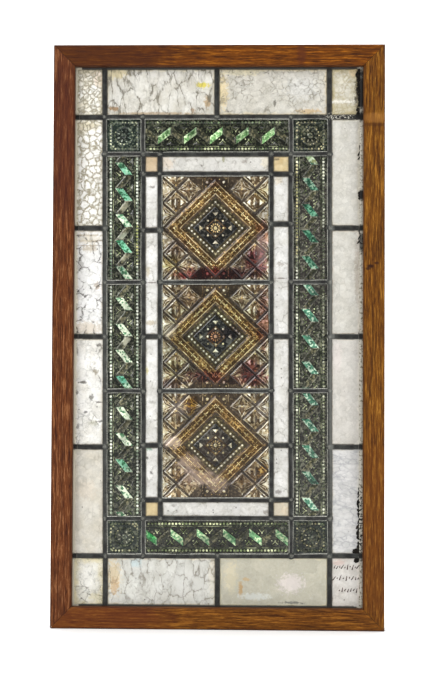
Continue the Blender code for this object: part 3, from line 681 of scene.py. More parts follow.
# painted highlight: a thin light line on the lead's crown
highlight_mask = times(tree, given["Crown"], soft_step(tree, fine, 0.36, 0.60, 0.25, 1.0))
colour = over(tree, highlight_mask, colour, given["Highlight"])
tree.links.new(colour, result["Color"])
tree.links.new(plus(tree, times(tree, cloud, 0.6), times(tree, fine, 0.4)), result["Height"])

EDGE_LEAD_X, EDGE_LEAD_INNER = 149.5 * MM, 145.5 * MM
LEAD_ENDS = []
for side, x in (("left", -EDGE_LEAD_X), ("right", EDGE_LEAD_X)):
    for name in [f"white_{side}_{i}" for i in range(1, 5)] + [f"white_corner_bottom_{side}"]:
        LEAD_ENDS.append((x, max(corner.y for corner in grown(glass_corners(name), GLASS_TO_LEAD_MIDDLE))))


def lead_finish(name, dark, body, highlight, crown_from, crown_to, roughness):
    """Lead with a painted highlight between these two distances in mm from the panel's middle plane."""
    made, tree, shader, place = new_finish(name, roughness, 0.35)
    # the crown is the band in depth where the painted highlight lies
    depth = axis_of(tree, place, "Y")
    out = calc(tree, "ABSOLUTE", minus(tree, depth, PANEL_MIDDLE))
    inside = soft_step(tree, out, crown_to * MM, (crown_to + 0.3) * MM, 1.0, 0.0)
    crown = times(tree, soft_step(tree, out, crown_from * MM, (crown_from + 0.2) * MM), inside)
    patina_and_highlight = use(tree, lead_patina_and_highlight_group, {"Place": place, "Crown": crown, "Dark": dark, "Body": body,
                                  "Highlight": highlight})
    colour = patina_and_highlight["Color"]
    for lead_across, share in ((57, 0.12), (294.5, 0.45)):
        polished = spot(tree, place, seen_at(lead_across, 315), 3.5 * MM, 230 * MM, 0.3)
        colour = over(tree, times(tree, polished, share), colour, (128, 130, 124))
    rough_joint = spot(tree, place, seen_at(301, 76.5), 22 * MM, 5 * MM, 0.5)
    crumbs = fac(tree, place, 620.0, 3.0, 0.7)
    pits = times(tree, rough_joint, soft_step(tree, crumbs, 0.44, 0.50, 1.0, 0.0))
    colour = over(tree, pits, colour, (14, 12, 10))
    crests = times(tree, rough_joint, soft_step(tree, crumbs, 0.53, 0.59))
    colour = over(tree, crests, colour, (206, 202, 188))
    across = axis_of(tree, place, "X")
    # painted shade: the lead within a few millimetres of the frame is darkened under the frame's edge; the
    # band also bounds the putty below
    near = edge_band(tree, place, WINDOW_MIDDLE, FRAME_WIDTH / 2 - FRAME_FACE, FRAME_HEIGHT / 2 - FRAME_FACE,
                     6 * MM, 0.12)
    near = soft_step(tree, near, 0.1, 0.3)
    colour = over(tree, times(tree, near, 0.75), colour, (44, 42, 38))
    from_middle = calc(tree, "ABSOLUTE", across)
    beside = times(tree, near, soft_step(tree, from_middle, EDGE_LEAD_INNER, EDGE_LEAD_INNER + 1.0 * MM))
    dotted = fac(tree, place, 420.0, 3.0, 0.6)
    right_putty = over(tree, soft_step(tree, dotted, 0.38, 0.50), (112, 103, 86), (190, 186, 173))
    spread = over(tree, soft_step(tree, across, -10 * MM, 10 * MM), (184, 177, 158), right_putty)
    colour = over(tree, times(tree, beside, 0.9), colour, spread)
    for down, half_height, solid in ((50, 30, 1.0), (159, 7, 1.0), (209, 13, 0.8), (505, 46, 0.0)):
        black = spot(tree, place, seen_at(326, down), 20 * MM, half_height * MM, 0.6, 180.0)
        black = times(tree, black, soft_step(tree, dotted, 0.46, 0.52, 1.0, solid))
        colour = over(tree, times(tree, near, black), colour, (14, 12, 10))
    for lead_end in LEAD_ENDS:
        end = spot(tree, place, lead_end, 10 * MM, 4.2 * MM, 0.2)
        colour = over(tree, times(tree, beside, end), colour, (24, 23, 21))
    burnt = spot(tree, place, seen_at(323, 77), 8 * MM, 6 * MM, 0.7)
    colour = over(tree, burnt, colour, (16, 14, 12))
    tree.links.new(colour, shader.inputs["Base Color"])
    bump(tree, shader, patina_and_highlight["Height"], 0.0004, 0.8)
    return made


# painted highlight: lighter crowns on the leads, strongest beside the pressed glass, and on the solder drops'
# tops
lead = lead_finish("old lead", (16, 16, 15), (50, 51, 48), (96, 97, 92), 2.4, 2.7, 0.5)
highlight_lead = lead_finish("highlight lead", (24, 24, 23), (62, 63, 60), (190, 190, 180), 2.4, 3.2, 0.5)
solder = lead_finish("solder", (26, 27, 25), (56, 58, 54), (112, 112, 104), 3.8, 5.0, 0.42)
solids["came_lattice"].material_slots[0].material = lead
print("two lead finishes and a solder finish made")

# %% [markdown]
# The leads are H-shaped bars bent round the glass and soldered where they meet. The solid lattice has their
# flat form. Over it come their rounded faces: round each pane, half of each lead's face, as a frame that
# starts on the lead's middle line and steps down to the glass. A plane is put on the pane's lead lines and
# inset again and again, each time a little lower, and its inside is cut away.

# %% Rounded faces of the leads
CROWN, PROUD, SUNK, RIM = 0.25 * MM, 0.4 * MM, 0.1 * MM, 0.85 * MM
FACE_STEPS = ((0.9, -0.05), (0.8, -0.14), (0.5, -0.22), (0.35, -0.38))


def lead_face(name):
    """Half the face of each lead round a pane, as one closed frame."""
    bpy.ops.mesh.primitive_plane_add(size=1)
    face = bpy.context.active_object
    corners = grown(glass_corners(name), GLASS_TO_LEAD_MIDDLE)
    for vert, corner in zip(face.data.vertices, (corners[0], corners[1], corners[3], corners[2])):
        vert.co = (corner.x, LEAD_FRONT + SUNK, corner.y)
    enter_edit()
    bpy.ops.mesh.select_all(action="SELECT")
    bpy.ops.mesh.extrude_region_move(TRANSFORM_OT_translate={"value": (0, -CROWN - SUNK, 0)})
    for inwards, down in FACE_STEPS:
        bpy.ops.mesh.inset(thickness=inwards * MM, depth=down * MM)
    bpy.ops.mesh.extrude_region_move(TRANSFORM_OT_translate={"value": (0, RIM, 0)})
    hollowed(face)
    face.data.materials.append(highlight_lead if name.startswith(("green", "tile")) else lead)
    return face


front_faces = one_mesh("lead_faces", [lead_face(name) for name in PANES])
edit_all(front_faces)
bpy.ops.mesh.select_mode(type="EDGE")
bpy.ops.mesh.select_all(action="DESELECT")
leave_edit()
long_edges = 0
for edge in front_faces.data.edges:
    start, end = (front_faces.data.vertices[i].co for i in edge.vertices)
    edge.select = (end - start).length > 9 * MM
    long_edges += edge.select
enter_edit()
bpy.ops.mesh.subdivide(number_cuts=9)
leave_edit()
edit_corners(front_faces, lambda co: co.y < LEAD_FRONT - 0.02 * MM and abs(co.x) < CLEAR_HALF_WIDTH
             and CLEAR_BOTTOM < co.z < CLEAR_TOP)
bpy.ops.transform.translate(value=(0, -PROUD, 0))
leave_edit()
print("faces round", len(PANES), "panes,", long_edges, "long edges divided,", triangles(front_faces),
      "triangles")

# %% [markdown]
# Hands leave a little sway in every lead. A Displace modifier with a cloud pattern moves the faces sideways
# by part of a millimetre, along X and then along Z, and is applied. The back of the window has the same
# leads, so the front is copied and mirrored through the panel's middle, with its normals turned out again.

# %% Sway in the leads, and their backs
sway = bpy.data.textures.new("hand sway", type="CLOUDS")
sway.noise_scale = 0.022
sway.noise_depth = 1
for direction in ("X", "Z"):
    only(front_faces)
    modifier = front_faces.modifiers.new(f"sway {direction}", "DISPLACE")
    modifier.texture = sway
    modifier.texture_coords = "LOCAL"
    modifier.direction = direction
    modifier.mid_level = 0.5
    modifier.strength = 0.9 * MM
    bpy.ops.object.modifier_apply(modifier=modifier.name)
back_faces = front_faces.copy()
back_faces.data = front_faces.data.copy()
back_faces.name = "lead_back_faces"
bpy.context.scene.collection.objects.link(back_faces)
edit_all(back_faces)
bpy.ops.transform.resize(value=(1, -1, 1), center_override=(0, PANEL_MIDDLE, 0))
bpy.ops.mesh.normals_make_consistent(inside=False)
leave_edit()
for faces in (front_faces, back_faces):
    only(faces)
    bpy.ops.object.shade_smooth_by_angle(angle=math.radians(40))
    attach(faces, "root")
low, high = (min(v.co.y for v in back_faces.data.vertices), max(v.co.y for v in back_faces.data.vertices))
print("back faces from y", round(low / MM, 2), "to", round(high / MM, 2), "mm")

# %% [markdown]
# Where leads meet they are joined with a drop of solder, which sets as a low, uneven blob. One drop is a
# sphere squeezed flat with its corners shaken a little. It is copied to every meeting of leads that the
# frame doesn't cover, turned a different way each time, on the front and on the back.

# %% Solder drops
bpy.ops.mesh.primitive_uv_sphere_add(segments=12, ring_count=8, radius=3.5 * MM)
drop = bpy.context.active_object
enter_edit()
bpy.ops.mesh.select_all(action="SELECT")
bpy.ops.transform.resize(value=(1.0, 0.2, 0.9))
bpy.ops.transform.vertex_random(offset=0.25 * MM, seed=3)
leave_edit()
meetings = []
for name in PANES:
    for corner in grown(glass_corners(name), GLASS_TO_LEAD_MIDDLE):
        covered = abs(corner.x) > CLEAR_HALF_WIDTH - 0.5 * MM or not CLEAR_BOTTOM < corner.y < CLEAR_TOP
        if not covered and all((corner - other).length > 2.5 * MM for other in meetings):
            meetings.append(corner)
drops = []
for i, corner in enumerate(meetings):
    for y in (LEAD_FRONT - 0.35 * MM, 2 * PANEL_MIDDLE - LEAD_FRONT + 0.35 * MM):
        size = (0.85 + 0.3 * math.sin(i * 2.1) ** 2, 1.0, 0.8 + 0.35 * math.cos(i * 1.3) ** 2)
        drops.append(placed("drop", drop, (corner.x, y, corner.y), (0, i * 1.7, 0), size))
solder_drops = one_mesh("solder_drops", drops)
bpy.ops.object.shade_smooth()
solder_drops.data.materials.append(solder)
clear_bench(drop)
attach(solder_drops, "root")
print(len(meetings), "meetings of leads,", triangles(solder_drops), "triangles of solder")

# %% [markdown]
# The plain panes are white opal glass that was painted and fired, and the paint has crackled. Every pane
# has aged its own way, so one function builds the finish and each pane gives it its own values: how large
# the cells of the crackle are, how strong its lines, what tint the edges have, and which stains it has and
# where. Places are measured on the window's front, in millimetres from its upper left corner.


# %% White, liner and cream glass
def opal(node, body, cloud, cells, line, line_share, width, gaps, edge, warp=0.85, edge_reach=3.0,
         edge_share=0.9, specks=0.0, stains=(), stretch=(1.0, 1.0, 1.0), fine=0.5):
    """A fired opal glass for one pane; stains are (across, down, half width, half height, colour, share)."""
    made, tree, shader, place = new_finish(f"{node} glass".replace("_", " "), 0.22)
    low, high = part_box(node)
    colour = over(tree, soft_step(tree, fac(tree, place, 70.0, 5.0, 0.6), 0.35, 0.68), body, cloud)
    grain = fac(tree, place, 330.0, 5.0, 0.7)
    mottle = grey(tree, plus(tree, 1.0, times(tree, minus(tree, grain, 0.5), 0.5)))
    colour = over(tree, 1.0, colour, mottle, "MULTIPLY")
    height = fac(tree, place, 240.0, 3.0)
    pane = (((low.x + high.x) / 2, (low.z + high.z) / 2),
            (high.x - low.x) / 2 - UNDER_LEAD, (high.z - low.z) / 2 - UNDER_LEAD)
    grime = edge_band(tree, place, *pane, edge_reach * MM, 0.9)
    colour = over(tree, times(tree, grime, edge_share), colour, edge)
    for across, down, half_width, half_height, tint, share in stains:
        mask = spot(tree, place, seen_at(across, down), half_width * MM, half_height * MM, 1.3, 330.0)
        colour = over(tree, times(tree, mask, share), colour, tint)
    stretched = put(tree, "ShaderNodeMapping", {"Vector": place, "Scale": stretch}).outputs[0]
    net = use(tree, crackle_group, {
        "Place": stretched, "Cells Per Metre": 1000.0 / cells, "Line Width": width * 1.15,
        "Warp": warp * cells * MM, "Gaps": gaps, "Fine Share": fine})
    colour = over(tree, times(tree, net["Line"], line_share), colour, line)
    tone = plus(tree, 0.5, times(tree, minus(tree, net["Cell Tone"], 0.5), 0.3))
    tone = over(tree, tone, (0.75, 0.75, 0.75, 1.0), (1.25, 1.25, 1.25, 1.0))
    colour = over(tree, 1.0, colour, tone, "MULTIPLY")
    height = minus(tree, times(tree, height, 0.5), times(tree, net["Line"], 0.7))
    if specks:
        grains = use(tree, speck_group, {"Place": place, "Per Metre": 210.0, "Size": 0.22, "Share": specks})
        colour = over(tree, times(tree, grains["Mask"], 0.75), colour, (92, 88, 84))
    # painted shade: a thin dark band on the glass right against the lead, faded out at the outer sides
    shade_by_lead = edge_band(tree, place, *pane, 1.6 * MM, 0.5)
    from_middle = calc(tree, "ABSOLUTE", axis_of(tree, place, "X"))
    shade_by_lead = times(tree, shade_by_lead, soft_step(tree, from_middle, PUTTY_FROM, PUTTY_FROM + 2.5 * MM, 0.85, 0.1))
    colour = over(tree, shade_by_lead, colour, LEAD_SHADE_COLOUR)
    tree.links.new(colour, shader.inputs["Base Color"])
    bump(tree, shader, height, 0.0003, 0.5)
    solids[node].material_slots[0].material = made


UNDER_LEAD, PUTTY_FROM = 1.4 * MM, 142.5 * MM
LEAD_SHADE_COLOUR, SOFT_LINE, GREY_LINE, DARK_LINE = (74, 68, 56), (150, 143, 122), (104, 98, 84), (66, 60, 50)
BROWN, YELLOW, BLACK = (150, 118, 80), (206, 192, 84), (40, 36, 32)
MILK, COOL = (204, 202, 194), (234, 233, 231)

opal("white_corner_top_left", (252, 251, 246), (236, 230, 212), 5.4, SOFT_LINE, 0.95, 0.2, 0.27, fine=0.2,
     edge=(206, 198, 174), edge_reach=5.0,
     stains=[(38, 27, 16, 6, (204, 192, 160), 0.7), (47, 36, 7, 10, (206, 176, 148), 0.5)])
opal("white_top_left", (216, 214, 206), (195, 191, 179), 11.0, GREY_LINE, 0.9, 0.06, 0.42,
     edge=(222, 214, 190), stretch=(1.0, 1.0, 0.45), specks=0.03,
     stains=[(66, 30, 16, 8, (214, 200, 156), 0.8), (158, 43, 8, 4, YELLOW, 0.95),
             (163, 61, 4, 8, (176, 150, 112), 0.85), (64, 68, 6, 3, BROWN, 0.9),
             (110, 73, 50, 1.6, (170, 140, 100), 0.6), (148, 70, 3, 3, BROWN, 0.7)])
opal("white_top_right", (206, 203, 193), (190, 186, 174), 6.0, GREY_LINE, 0.7, 0.10, 0.48,
     edge=(220, 206, 172), edge_reach=3.5, specks=0.05,
     stains=[(180, 50, 6, 22, (218, 198, 150), 0.7), (200, 30, 26, 4, (216, 208, 176), 0.7),
             (234, 62, 2, 4, DARK_LINE, 0.7), (270, 71, 16, 3, (196, 164, 112), 0.7),
             (262, 47, 20, 15, (212, 212, 208), 0.6)])
opal("white_corner_top_right", (202, 197, 180), (188, 180, 154), 4.5, (150, 138, 106), 0.6, 0.14, 0.42,
     edge=(190, 176, 134), edge_reach=5.0,
     stains=[(308, 61, 22, 2.2, (238, 236, 228), 0.8), (318, 30, 7, 6, (222, 196, 148), 0.6),
             (306, 46, 9, 13, (216, 214, 204), 0.6), (322, 50, 5, 28, (52, 44, 30), 0.9)])
opal("white_left_1", (248, 247, 243), (234, 232, 225), 6.6, SOFT_LINE, 1.0, 0.16, 0.30, fine=0.3,
     edge=(214, 206, 184), edge_reach=3.5, specks=0.02,
     stains=[(36, 86, 14, 6, (216, 204, 168), 0.75), (30, 92, 6, 8, (208, 198, 170), 0.6),
             (39, 166, 15, 20, (240, 239, 234), 0.5), (35, 174, 1.4, 1.2, BLACK, 0.9)])
opal("white_left_2", COOL, (226, 225, 221), 12.0, DARK_LINE, 1.0, 0.06, 0.49, fine=0.3, edge=(216, 208, 190),
     specks=0.08, stains=[(38, 202, 18, 1.2, (150, 136, 110), 0.7), (40, 208, 16, 1.2, (160, 146, 120), 0.7),
                          (38, 213, 18, 1.0, (150, 136, 110), 0.6), (38, 206, 16, 7, (212, 202, 180), 0.6),
                          (30, 234, 4, 8, (110, 102, 92), 0.4), (38, 300, 18, 8, (196, 180, 156), 0.6),
                          (48, 256, 4, 5, (176, 158, 136), 0.7), (40, 216, 10, 4, (176, 158, 128), 0.6)])
opal("white_left_3", (232, 231, 226), (216, 213, 204), 10.0, DARK_LINE, 0.7, 0.06, 0.55, edge=(216, 208, 190),
     specks=0.16, stains=[(46, 346, 4, 3, (120, 106, 74), 0.7), (27, 325, 1.5, 5, DARK_LINE, 0.6),
                          (50, 318, 3, 2, DARK_LINE, 0.7), (33, 357, 6, 1.6, DARK_LINE, 0.8),
                          (27, 368, 1.6, 3, DARK_LINE, 0.7), (42, 373, 3, 4, DARK_LINE, 0.7),
                          (50, 378, 4, 1.2, DARK_LINE, 0.7), (36, 388, 2, 2, BLACK, 0.7),
                          (45, 400, 6, 3, (176, 174, 150), 0.6), (51, 398, 4, 1.6, DARK_LINE, 0.7),
                          (28, 404, 2, 4, DARK_LINE, 0.6)])
opal("white_left_4", (204, 200, 189), (194, 188, 173), 6.0, GREY_LINE, 0.3, 0.12, 0.52, edge=(198, 190, 174),
     specks=0.04, stains=[(38, 470, 12, 14, (206, 194, 176), 0.5)])
opal("white_right_1", MILK, (194, 191, 181), 5.0, GREY_LINE, 0.25, 0.12, 0.5, edge=(206, 200, 184),
     specks=0.02, stains=[(322, 120, 3, 60, (186, 178, 160), 0.4)])
opal("white_right_2", (201, 199, 191), (191, 188, 178), 6.0, GREY_LINE, 0.3, 0.1, 0.52, edge=(204, 196, 182),
     specks=0.04, stains=[(321, 240, 4, 36, (170, 158, 142), 0.5)])
opal("white_right_3", (198, 195, 188), (192, 188, 180), 6.0, GREY_LINE, 0.25, 0.1, 0.54, edge=(208, 202, 190),
     specks=0.04, stains=[(300, 330, 6, 20, (214, 206, 200), 0.6)])
opal("white_right_4", (204, 203, 200), (190, 189, 186), 4.2, (146, 146, 150), 0.7, 0.14, 0.46, warp=1.25,
     edge=(206, 202, 190), specks=0.03, stretch=(0.5, 1.0, 1.0))
opal("white_corner_bottom_left", (216, 214, 203), (198, 195, 182), 7.0, DARK_LINE, 0.8, 0.07, 0.55,
     edge=(206, 196, 160), edge_reach=7.0, edge_share=0.95,
     stains=[(40, 562, 9, 15, (232, 231, 226), 0.5), (48, 582, 9, 5, (206, 198, 164), 0.7)])
opal("white_bottom_left", (206, 206, 199), (190, 189, 180), 11.0, (92, 80, 60), 0.65, 0.055, 0.45,
     stretch=(1.0, 1.0, 0.6), edge=(216, 206, 180), specks=0.03,
     stains=[(67, 560, 9, 22, (212, 192, 152), 0.75), (68, 570, 5, 10, (176, 142, 100), 0.6),
             (90, 546, 7, 6, (196, 214, 216), 0.7), (170, 560, 5, 24, (212, 204, 184), 0.6),
             (146, 566, 30, 16, (216, 215, 209), 0.45)])
opal("white_bottom_right", (180, 176, 158), (171, 167, 150), 9.0, (186, 186, 172), 0.3, 0.07, 0.5,
     edge=(206, 198, 166),
     stains=[(200, 572, 2.4, 10, (176, 138, 78), 0.75), (206, 562, 5, 2, (190, 158, 104), 0.6),
             (190, 560, 8, 20, (206, 196, 164), 0.6), (252, 566, 16, 12, (224, 214, 212), 0.6),
             (215, 580, 20, 4, (204, 208, 202), 0.7), (254, 586, 14, 1.5, (84, 86, 84), 0.7)])
opal("white_corner_bottom_right", (206, 203, 197), (194, 189, 181), 8.0, GREY_LINE, 0.3, 0.07, 0.55,
     edge=(214, 206, 196), specks=0.06, stains=[(302, 544, 8, 4, (206, 178, 168), 0.6)])

LINER_STAINS = {
    "liner_top": [(120, 126, 9, 8, (212, 198, 180), 0.8), (180, 122, 2, 4, (150, 150, 118), 0.8),
                  (224, 124, 5, 9, (214, 206, 184), 0.7), (202, 124, 4, 2, (150, 142, 132), 0.6)],
    "liner_left_1": [(105, 151, 3, 2, (120, 116, 110), 0.7)],
    "liner_left_2": [(105, 252, 8, 0.9, (120, 112, 104), 0.8), (104, 197, 7, 2, (150, 140, 116), 0.6),
                     (101, 240, 3, 6, (190, 178, 148), 0.6), (104, 294, 7, 3, (176, 160, 126), 0.6)],
    "liner_left_3": [(101, 344, 2, 5, (196, 184, 118), 0.7), (104, 302, 7, 2, (140, 130, 110), 0.6)],
    "liner_left_4": [(103, 426, 4, 3, (126, 158, 136), 0.8), (106, 452, 2, 2, (90, 88, 86), 0.8),
                     (101, 436, 2, 2, (90, 88, 86), 0.8)],
    "liner_right_1": [(238, 144, 6, 5, (214, 202, 180), 0.7)],
    "liner_right_2": [(240, 247, 8, 0.9, (120, 112, 104), 0.8), (240, 232, 4, 3, (150, 140, 128), 0.6)],
    "liner_right_4": [(239, 471, 4, 3, (136, 130, 126), 0.8)],
    "liner_bottom": [(226, 492, 4, 3, (130, 122, 112), 0.7), (130, 486, 3, 1.5, (160, 156, 148), 0.7)],
}
LINER_BODY = {"left": (224, 223, 219), "right": (215, 214, 210), "top": (207, 205, 199),
              "bottom": (208, 207, 202)}
for node in LINER:
    opal(node, LINER_BODY[node.split("_")[1]], (200, 198, 191), 14.0, GREY_LINE, 0.6,
         0.05, 0.54, edge=(186, 180, 164), edge_reach=2.6, edge_share=0.6, specks=0.14,
         stains=LINER_STAINS.get(node, ()))
for node, body, cloud in (
    ("liner_corner_top_left", (196, 176, 148), (186, 166, 136)),
    ("liner_corner_top_right", (204, 188, 150), (194, 170, 122)),
    ("liner_corner_bottom_left", (198, 180, 138), (186, 164, 118)),
    ("liner_corner_bottom_right", (202, 194, 174), (194, 182, 160)),
):
    stains = [(236, 122, 3, 1.6, (96, 92, 76), 0.8)] if node.endswith("top_right") else []
    opal(node, body, cloud, 9.0, (186, 156, 112), 0.4, 0.08, 0.5,
         edge=(196, 172, 128), edge_reach=1.5, edge_share=0.5, stains=stains)
print(len(WHITE), "white,", len(LINER), "liner and", len(CREAM), "cream panes finished")

# %% [markdown]
# The green and amber pieces are pressed glass: molten glass squeezed into a patterned iron mould, then
# stained. One group gives their colour: it goes from a deep colour in the low ground to the body colour
# with the height above the plate, and picks out some small patches as paler facets. These are partly the
# glass's own mottle and partly painted glints, and they show more the higher the glass stands. Stains lie
# over it at their own places on the window.

# %% Finish of the pressed glass
pressed_group, given, result = new_group(
    "pressed glass",
    [("Place", PLACE, None), ("Deep", COLOUR, None), ("Body", COLOUR, None), ("Pale", COLOUR, None),
     ("Rise", FLOAT, 0.001), ("Facets Per Metre", FLOAT, 500.0), ("Facet Share", FLOAT, 0.3),
     ("Uneven", FLOAT, 0.0)],
    [("Color", COLOUR)],
)
tree = pressed_group
depth = axis_of(tree, given["Place"], "Y")
height = calc(tree, "DIVIDE", minus(tree, PRESSED_FRONT, depth), given["Rise"])
height = soft_step(tree, height, -0.1, 1.0)
patches = put(tree, "ShaderNodeTexVoronoi", {"Vector": given["Place"], "Scale": given["Facets Per Metre"]})
tone = axis_of(tree, patches.outputs["Color"], "X")
start = minus(tree, 1.0, given["Facet Share"])
pale = soft_step(tree, tone, start, plus(tree, start, 0.2))
colour = over(tree, height, given["Deep"], given["Body"])
colour = over(tree, times(tree, soft_step(tree, tone, 0.14, 0.3, 1.0, 0.0), 0.75), colour, given["Deep"])
# painted glints: the pale patches, partly the glass's own mottle, are stronger the higher the glass stands
seen = plus(tree, 0.4, times(tree, height, 0.6))
colour = over(tree, times(tree, pale, seen), colour, given["Pale"])
cloud = fac(tree, given["Place"], 75.0, 4.0, 0.6)
shade = over(tree, soft_step(tree, cloud, 0.32, 0.68), (176, 176, 176), (1.15, 1.15, 1.15, 1.0))
colour = over(tree, 1.0, colour, shade, "MULTIPLY")
patch = fac(tree, given["Place"], 31.0, 1.0)
swing = plus(tree, 1.0, times(tree, soft_step(tree, patch, 0.34, 0.66, -0.62, 0.35), given["Uneven"]))
swing = grey(tree, swing)
tree.links.new(over(tree, 1.0, colour, swing, "MULTIPLY"), result["Color"])


def pressed(name, deep, body, pale, rise, facets, share, metallic=0.1, roughness=0.2, stains=(),
            washes=(), uneven=0.0):
    """A pressed glass finish; stains darken and washes lighten its front, listed as for opal()."""
    made, tree, shader, place = new_finish(name, roughness, metallic)
    colour = use(tree, pressed_group, {
        "Place": place, "Deep": deep, "Body": body, "Pale": pale, "Rise": rise * MM,
        "Facets Per Metre": facets, "Facet Share": share, "Uneven": uneven})["Color"]
    depth = axis_of(tree, place, "Y")
    front = soft_step(tree, depth, PANEL_MIDDLE - 1.0 * MM, PANEL_MIDDLE - 0.4 * MM, 1.0, 0.0)
    for mode, spots in (("MULTIPLY", stains), ("SCREEN", washes)):
        for across, down, half_width, half_height, tint, amount in spots:
            mask = spot(tree, place, seen_at(across, down), half_width * MM, half_height * MM, 1.0, 170.0)
            seen = times(tree, times(tree, mask, front), amount)
            colour = over(tree, seen, colour, tint, mode)
    tree.links.new(colour, shader.inputs["Base Color"])
    bump(tree, shader, fac(tree, place, 700.0, 3.0), 0.0003, 0.6)
    return made


ground_green = pressed("green ground", (34, 39, 30), (74, 78, 65), (146, 146, 126), 1.4, 560.0, 0.44,
                       stains=[(172, 98, 90, 26, (174, 178, 156), 0.95),
                               (172, 519, 90, 26, (144, 142, 118), 0.95)],
                       washes=[(273, 220, 22, 110, (44, 36, 38), 0.9), (273, 420, 22, 90, (34, 28, 30), 0.8)])
dull_green = pressed("green return leg", (32, 36, 26), (56, 58, 42), (112, 108, 82), 1.6, 520.0, 0.35,
                     washes=[(75, 172, 7, 7, (128, 126, 106), 0.9), (75, 204, 6, 6, (150, 156, 136), 0.9),
                             (75, 224, 7, 7, (136, 134, 112), 0.9), (77, 312, 6, 7, (160, 160, 140), 0.9)])
ROSETTE_STAINS = [(273, 97, 26, 26, (255, 232, 212), 0.9), (273, 519, 26, 26, (216, 196, 182), 0.9),
                  (77, 519, 26, 26, (250, 236, 226), 0.9)]
ring_green = pressed("green rosette", (28, 40, 34), (60, 74, 63), (128, 138, 118), 1.6, 560.0, 0.42,
                     stains=ROSETTE_STAINS)
# painted glints: the petals get pale patches so that they show white glints
petal_glass = pressed("petal glass", (44, 60, 52), (84, 102, 88), (206, 214, 196), 1.4, 380.0, 0.4,
                      roughness=0.14, uneven=0.5, stains=ROSETTE_STAINS)
dim_bead = pressed("dim green bead", (48, 58, 44), (108, 118, 92), (206, 210, 172), 1.6, 230.0, 0.4,
                   roughness=0.14, uneven=0.45, stains=ROSETTE_STAINS)
bead_green = pressed("green bead", (52, 64, 42), (122, 136, 92), (226, 232, 184), 1.6, 190.0, 0.45,
                     roughness=0.12, uneven=0.6, stains=[(172, 83, 90, 6, (120, 140, 130), 0.9)])
leg_green = {
    "top": pressed("yellow green leg", (56, 92, 48), (122, 168, 106), (206, 232, 180), 1.9, 620.0, 0.36,
                   uneven=0.5),
    "bottom": pressed("pale green leg", (52, 98, 66), (118, 168, 118), (206, 226, 180), 1.9, 560.0, 0.4,
                      uneven=0.6,
                      stains=[(107, 519, 7, 14, (90, 216, 150), 0.9)]),
    "left": pressed("mint green leg", (52, 98, 66), (116, 164, 122), (232, 242, 214), 1.9, 560.0, 0.68,
                    uneven=0.4,
                    stains=[(75, 150, 16, 34, (140, 206, 192), 0.95),
                            (75, 215, 16, 28, (130, 206, 190), 0.95),
                            (75, 352, 16, 12, (96, 190, 180), 0.9), (75, 440, 16, 20, (110, 200, 180), 0.8)]),
    "right": pressed("sea green leg", (26, 66, 50), (78, 136, 108), (190, 216, 190), 1.9, 560.0, 0.4,
                     uneven=0.6,
                     stains=[(273, 195, 18, 62, (126, 182, 166), 0.9)],
                     washes=[(273, 120, 9, 7, (128, 118, 60), 0.8)]),
}
print("pressed finishes for the green border:", 6 + len(leg_green))

# %% [markdown]
# The relief that repeats is modelled once. A bead is the upper half of a small sphere. A thread is a long
# bar with a narrow top. A leg is one stroke of the border's zigzag: a plane made slanting by moving its ends
# apart, raised, inset and poked, so that its top breaks into four facets. A chevron is two threads.


# %% Beads, threads and legs
def bead(name, radius, height, segments, finish):
    bpy.ops.mesh.primitive_uv_sphere_add(segments=segments, ring_count=segments // 2 + 2, radius=radius * MM)
    made = bpy.context.active_object
    enter_edit()
    bpy.ops.mesh.select_all(action="SELECT")
    bpy.ops.mesh.bisect(plane_co=(0, 0, 0), plane_no=(0, 0, 1), clear_inner=True, use_fill=True)
    bpy.ops.mesh.select_all(action="SELECT")
    bpy.ops.transform.resize(value=(1, 1, height / radius))
    leave_edit()
    bpy.ops.object.shade_smooth_by_angle(angle=math.radians(60))
    return named(made, name, finish)


def thread(name, length, width, height, finish):
    bpy.ops.mesh.primitive_cube_add(size=1)
    made = bpy.context.active_object
    enter_edit()
    bpy.ops.transform.resize(value=(length, width * MM, height * MM))
    leave_edit()
    edit_faces(made, lambda centre, normal: normal.z > 0.9)
    bpy.ops.transform.resize(value=(1, 0.3, 1))
    leave_edit()
    return named(made, name, finish)


LEG_LENGTH, LEG_WIDTH, LEG_RISE, LEG_TOP = 13.8 * MM, 8.8 * MM, 10.2 * MM, 1.3


def leg(name, way, shrink, raised, finish):
    """One stroke of the zigzag, about the bench's middle, rising to the right where way is 1."""
    bpy.ops.mesh.primitive_plane_add(size=1, location=(0, 0, (LEG_TOP - 0.2) * MM))
    made = bpy.context.active_object
    bpy.ops.object.transform_apply(location=True)
    enter_edit()
    bpy.ops.transform.resize(value=(LEG_LENGTH - shrink, LEG_WIDTH - shrink, 1))
    leave_edit()
    for end in (-1, 1):
        edit_corners(made, lambda co: co.x * end > 0)
        bpy.ops.transform.translate(value=(0, way * end * LEG_RISE / 2, 0))
        leave_edit()
    edit_faces(made, lambda centre, normal: True)
    steps_up(((0, (0.2 + raised) * MM), (0.9 * MM, 0.3 * MM)))
    bpy.ops.mesh.poke(offset=0.3 * MM)
    leave_edit()
    return named(made, name, finish)


def chevron(name, finish):
    arms = []
    for way in (-1, 1):
        arm = thread(name, 4.6 * MM, 0.6, 0.5, finish)
        arm.location = (way * 1.6 * MM, 0, 0.3 * MM)
        arm.rotation_euler = (0, 0, -way * math.radians(45))
        arms.append(arm)
    return one_mesh(name, arms)


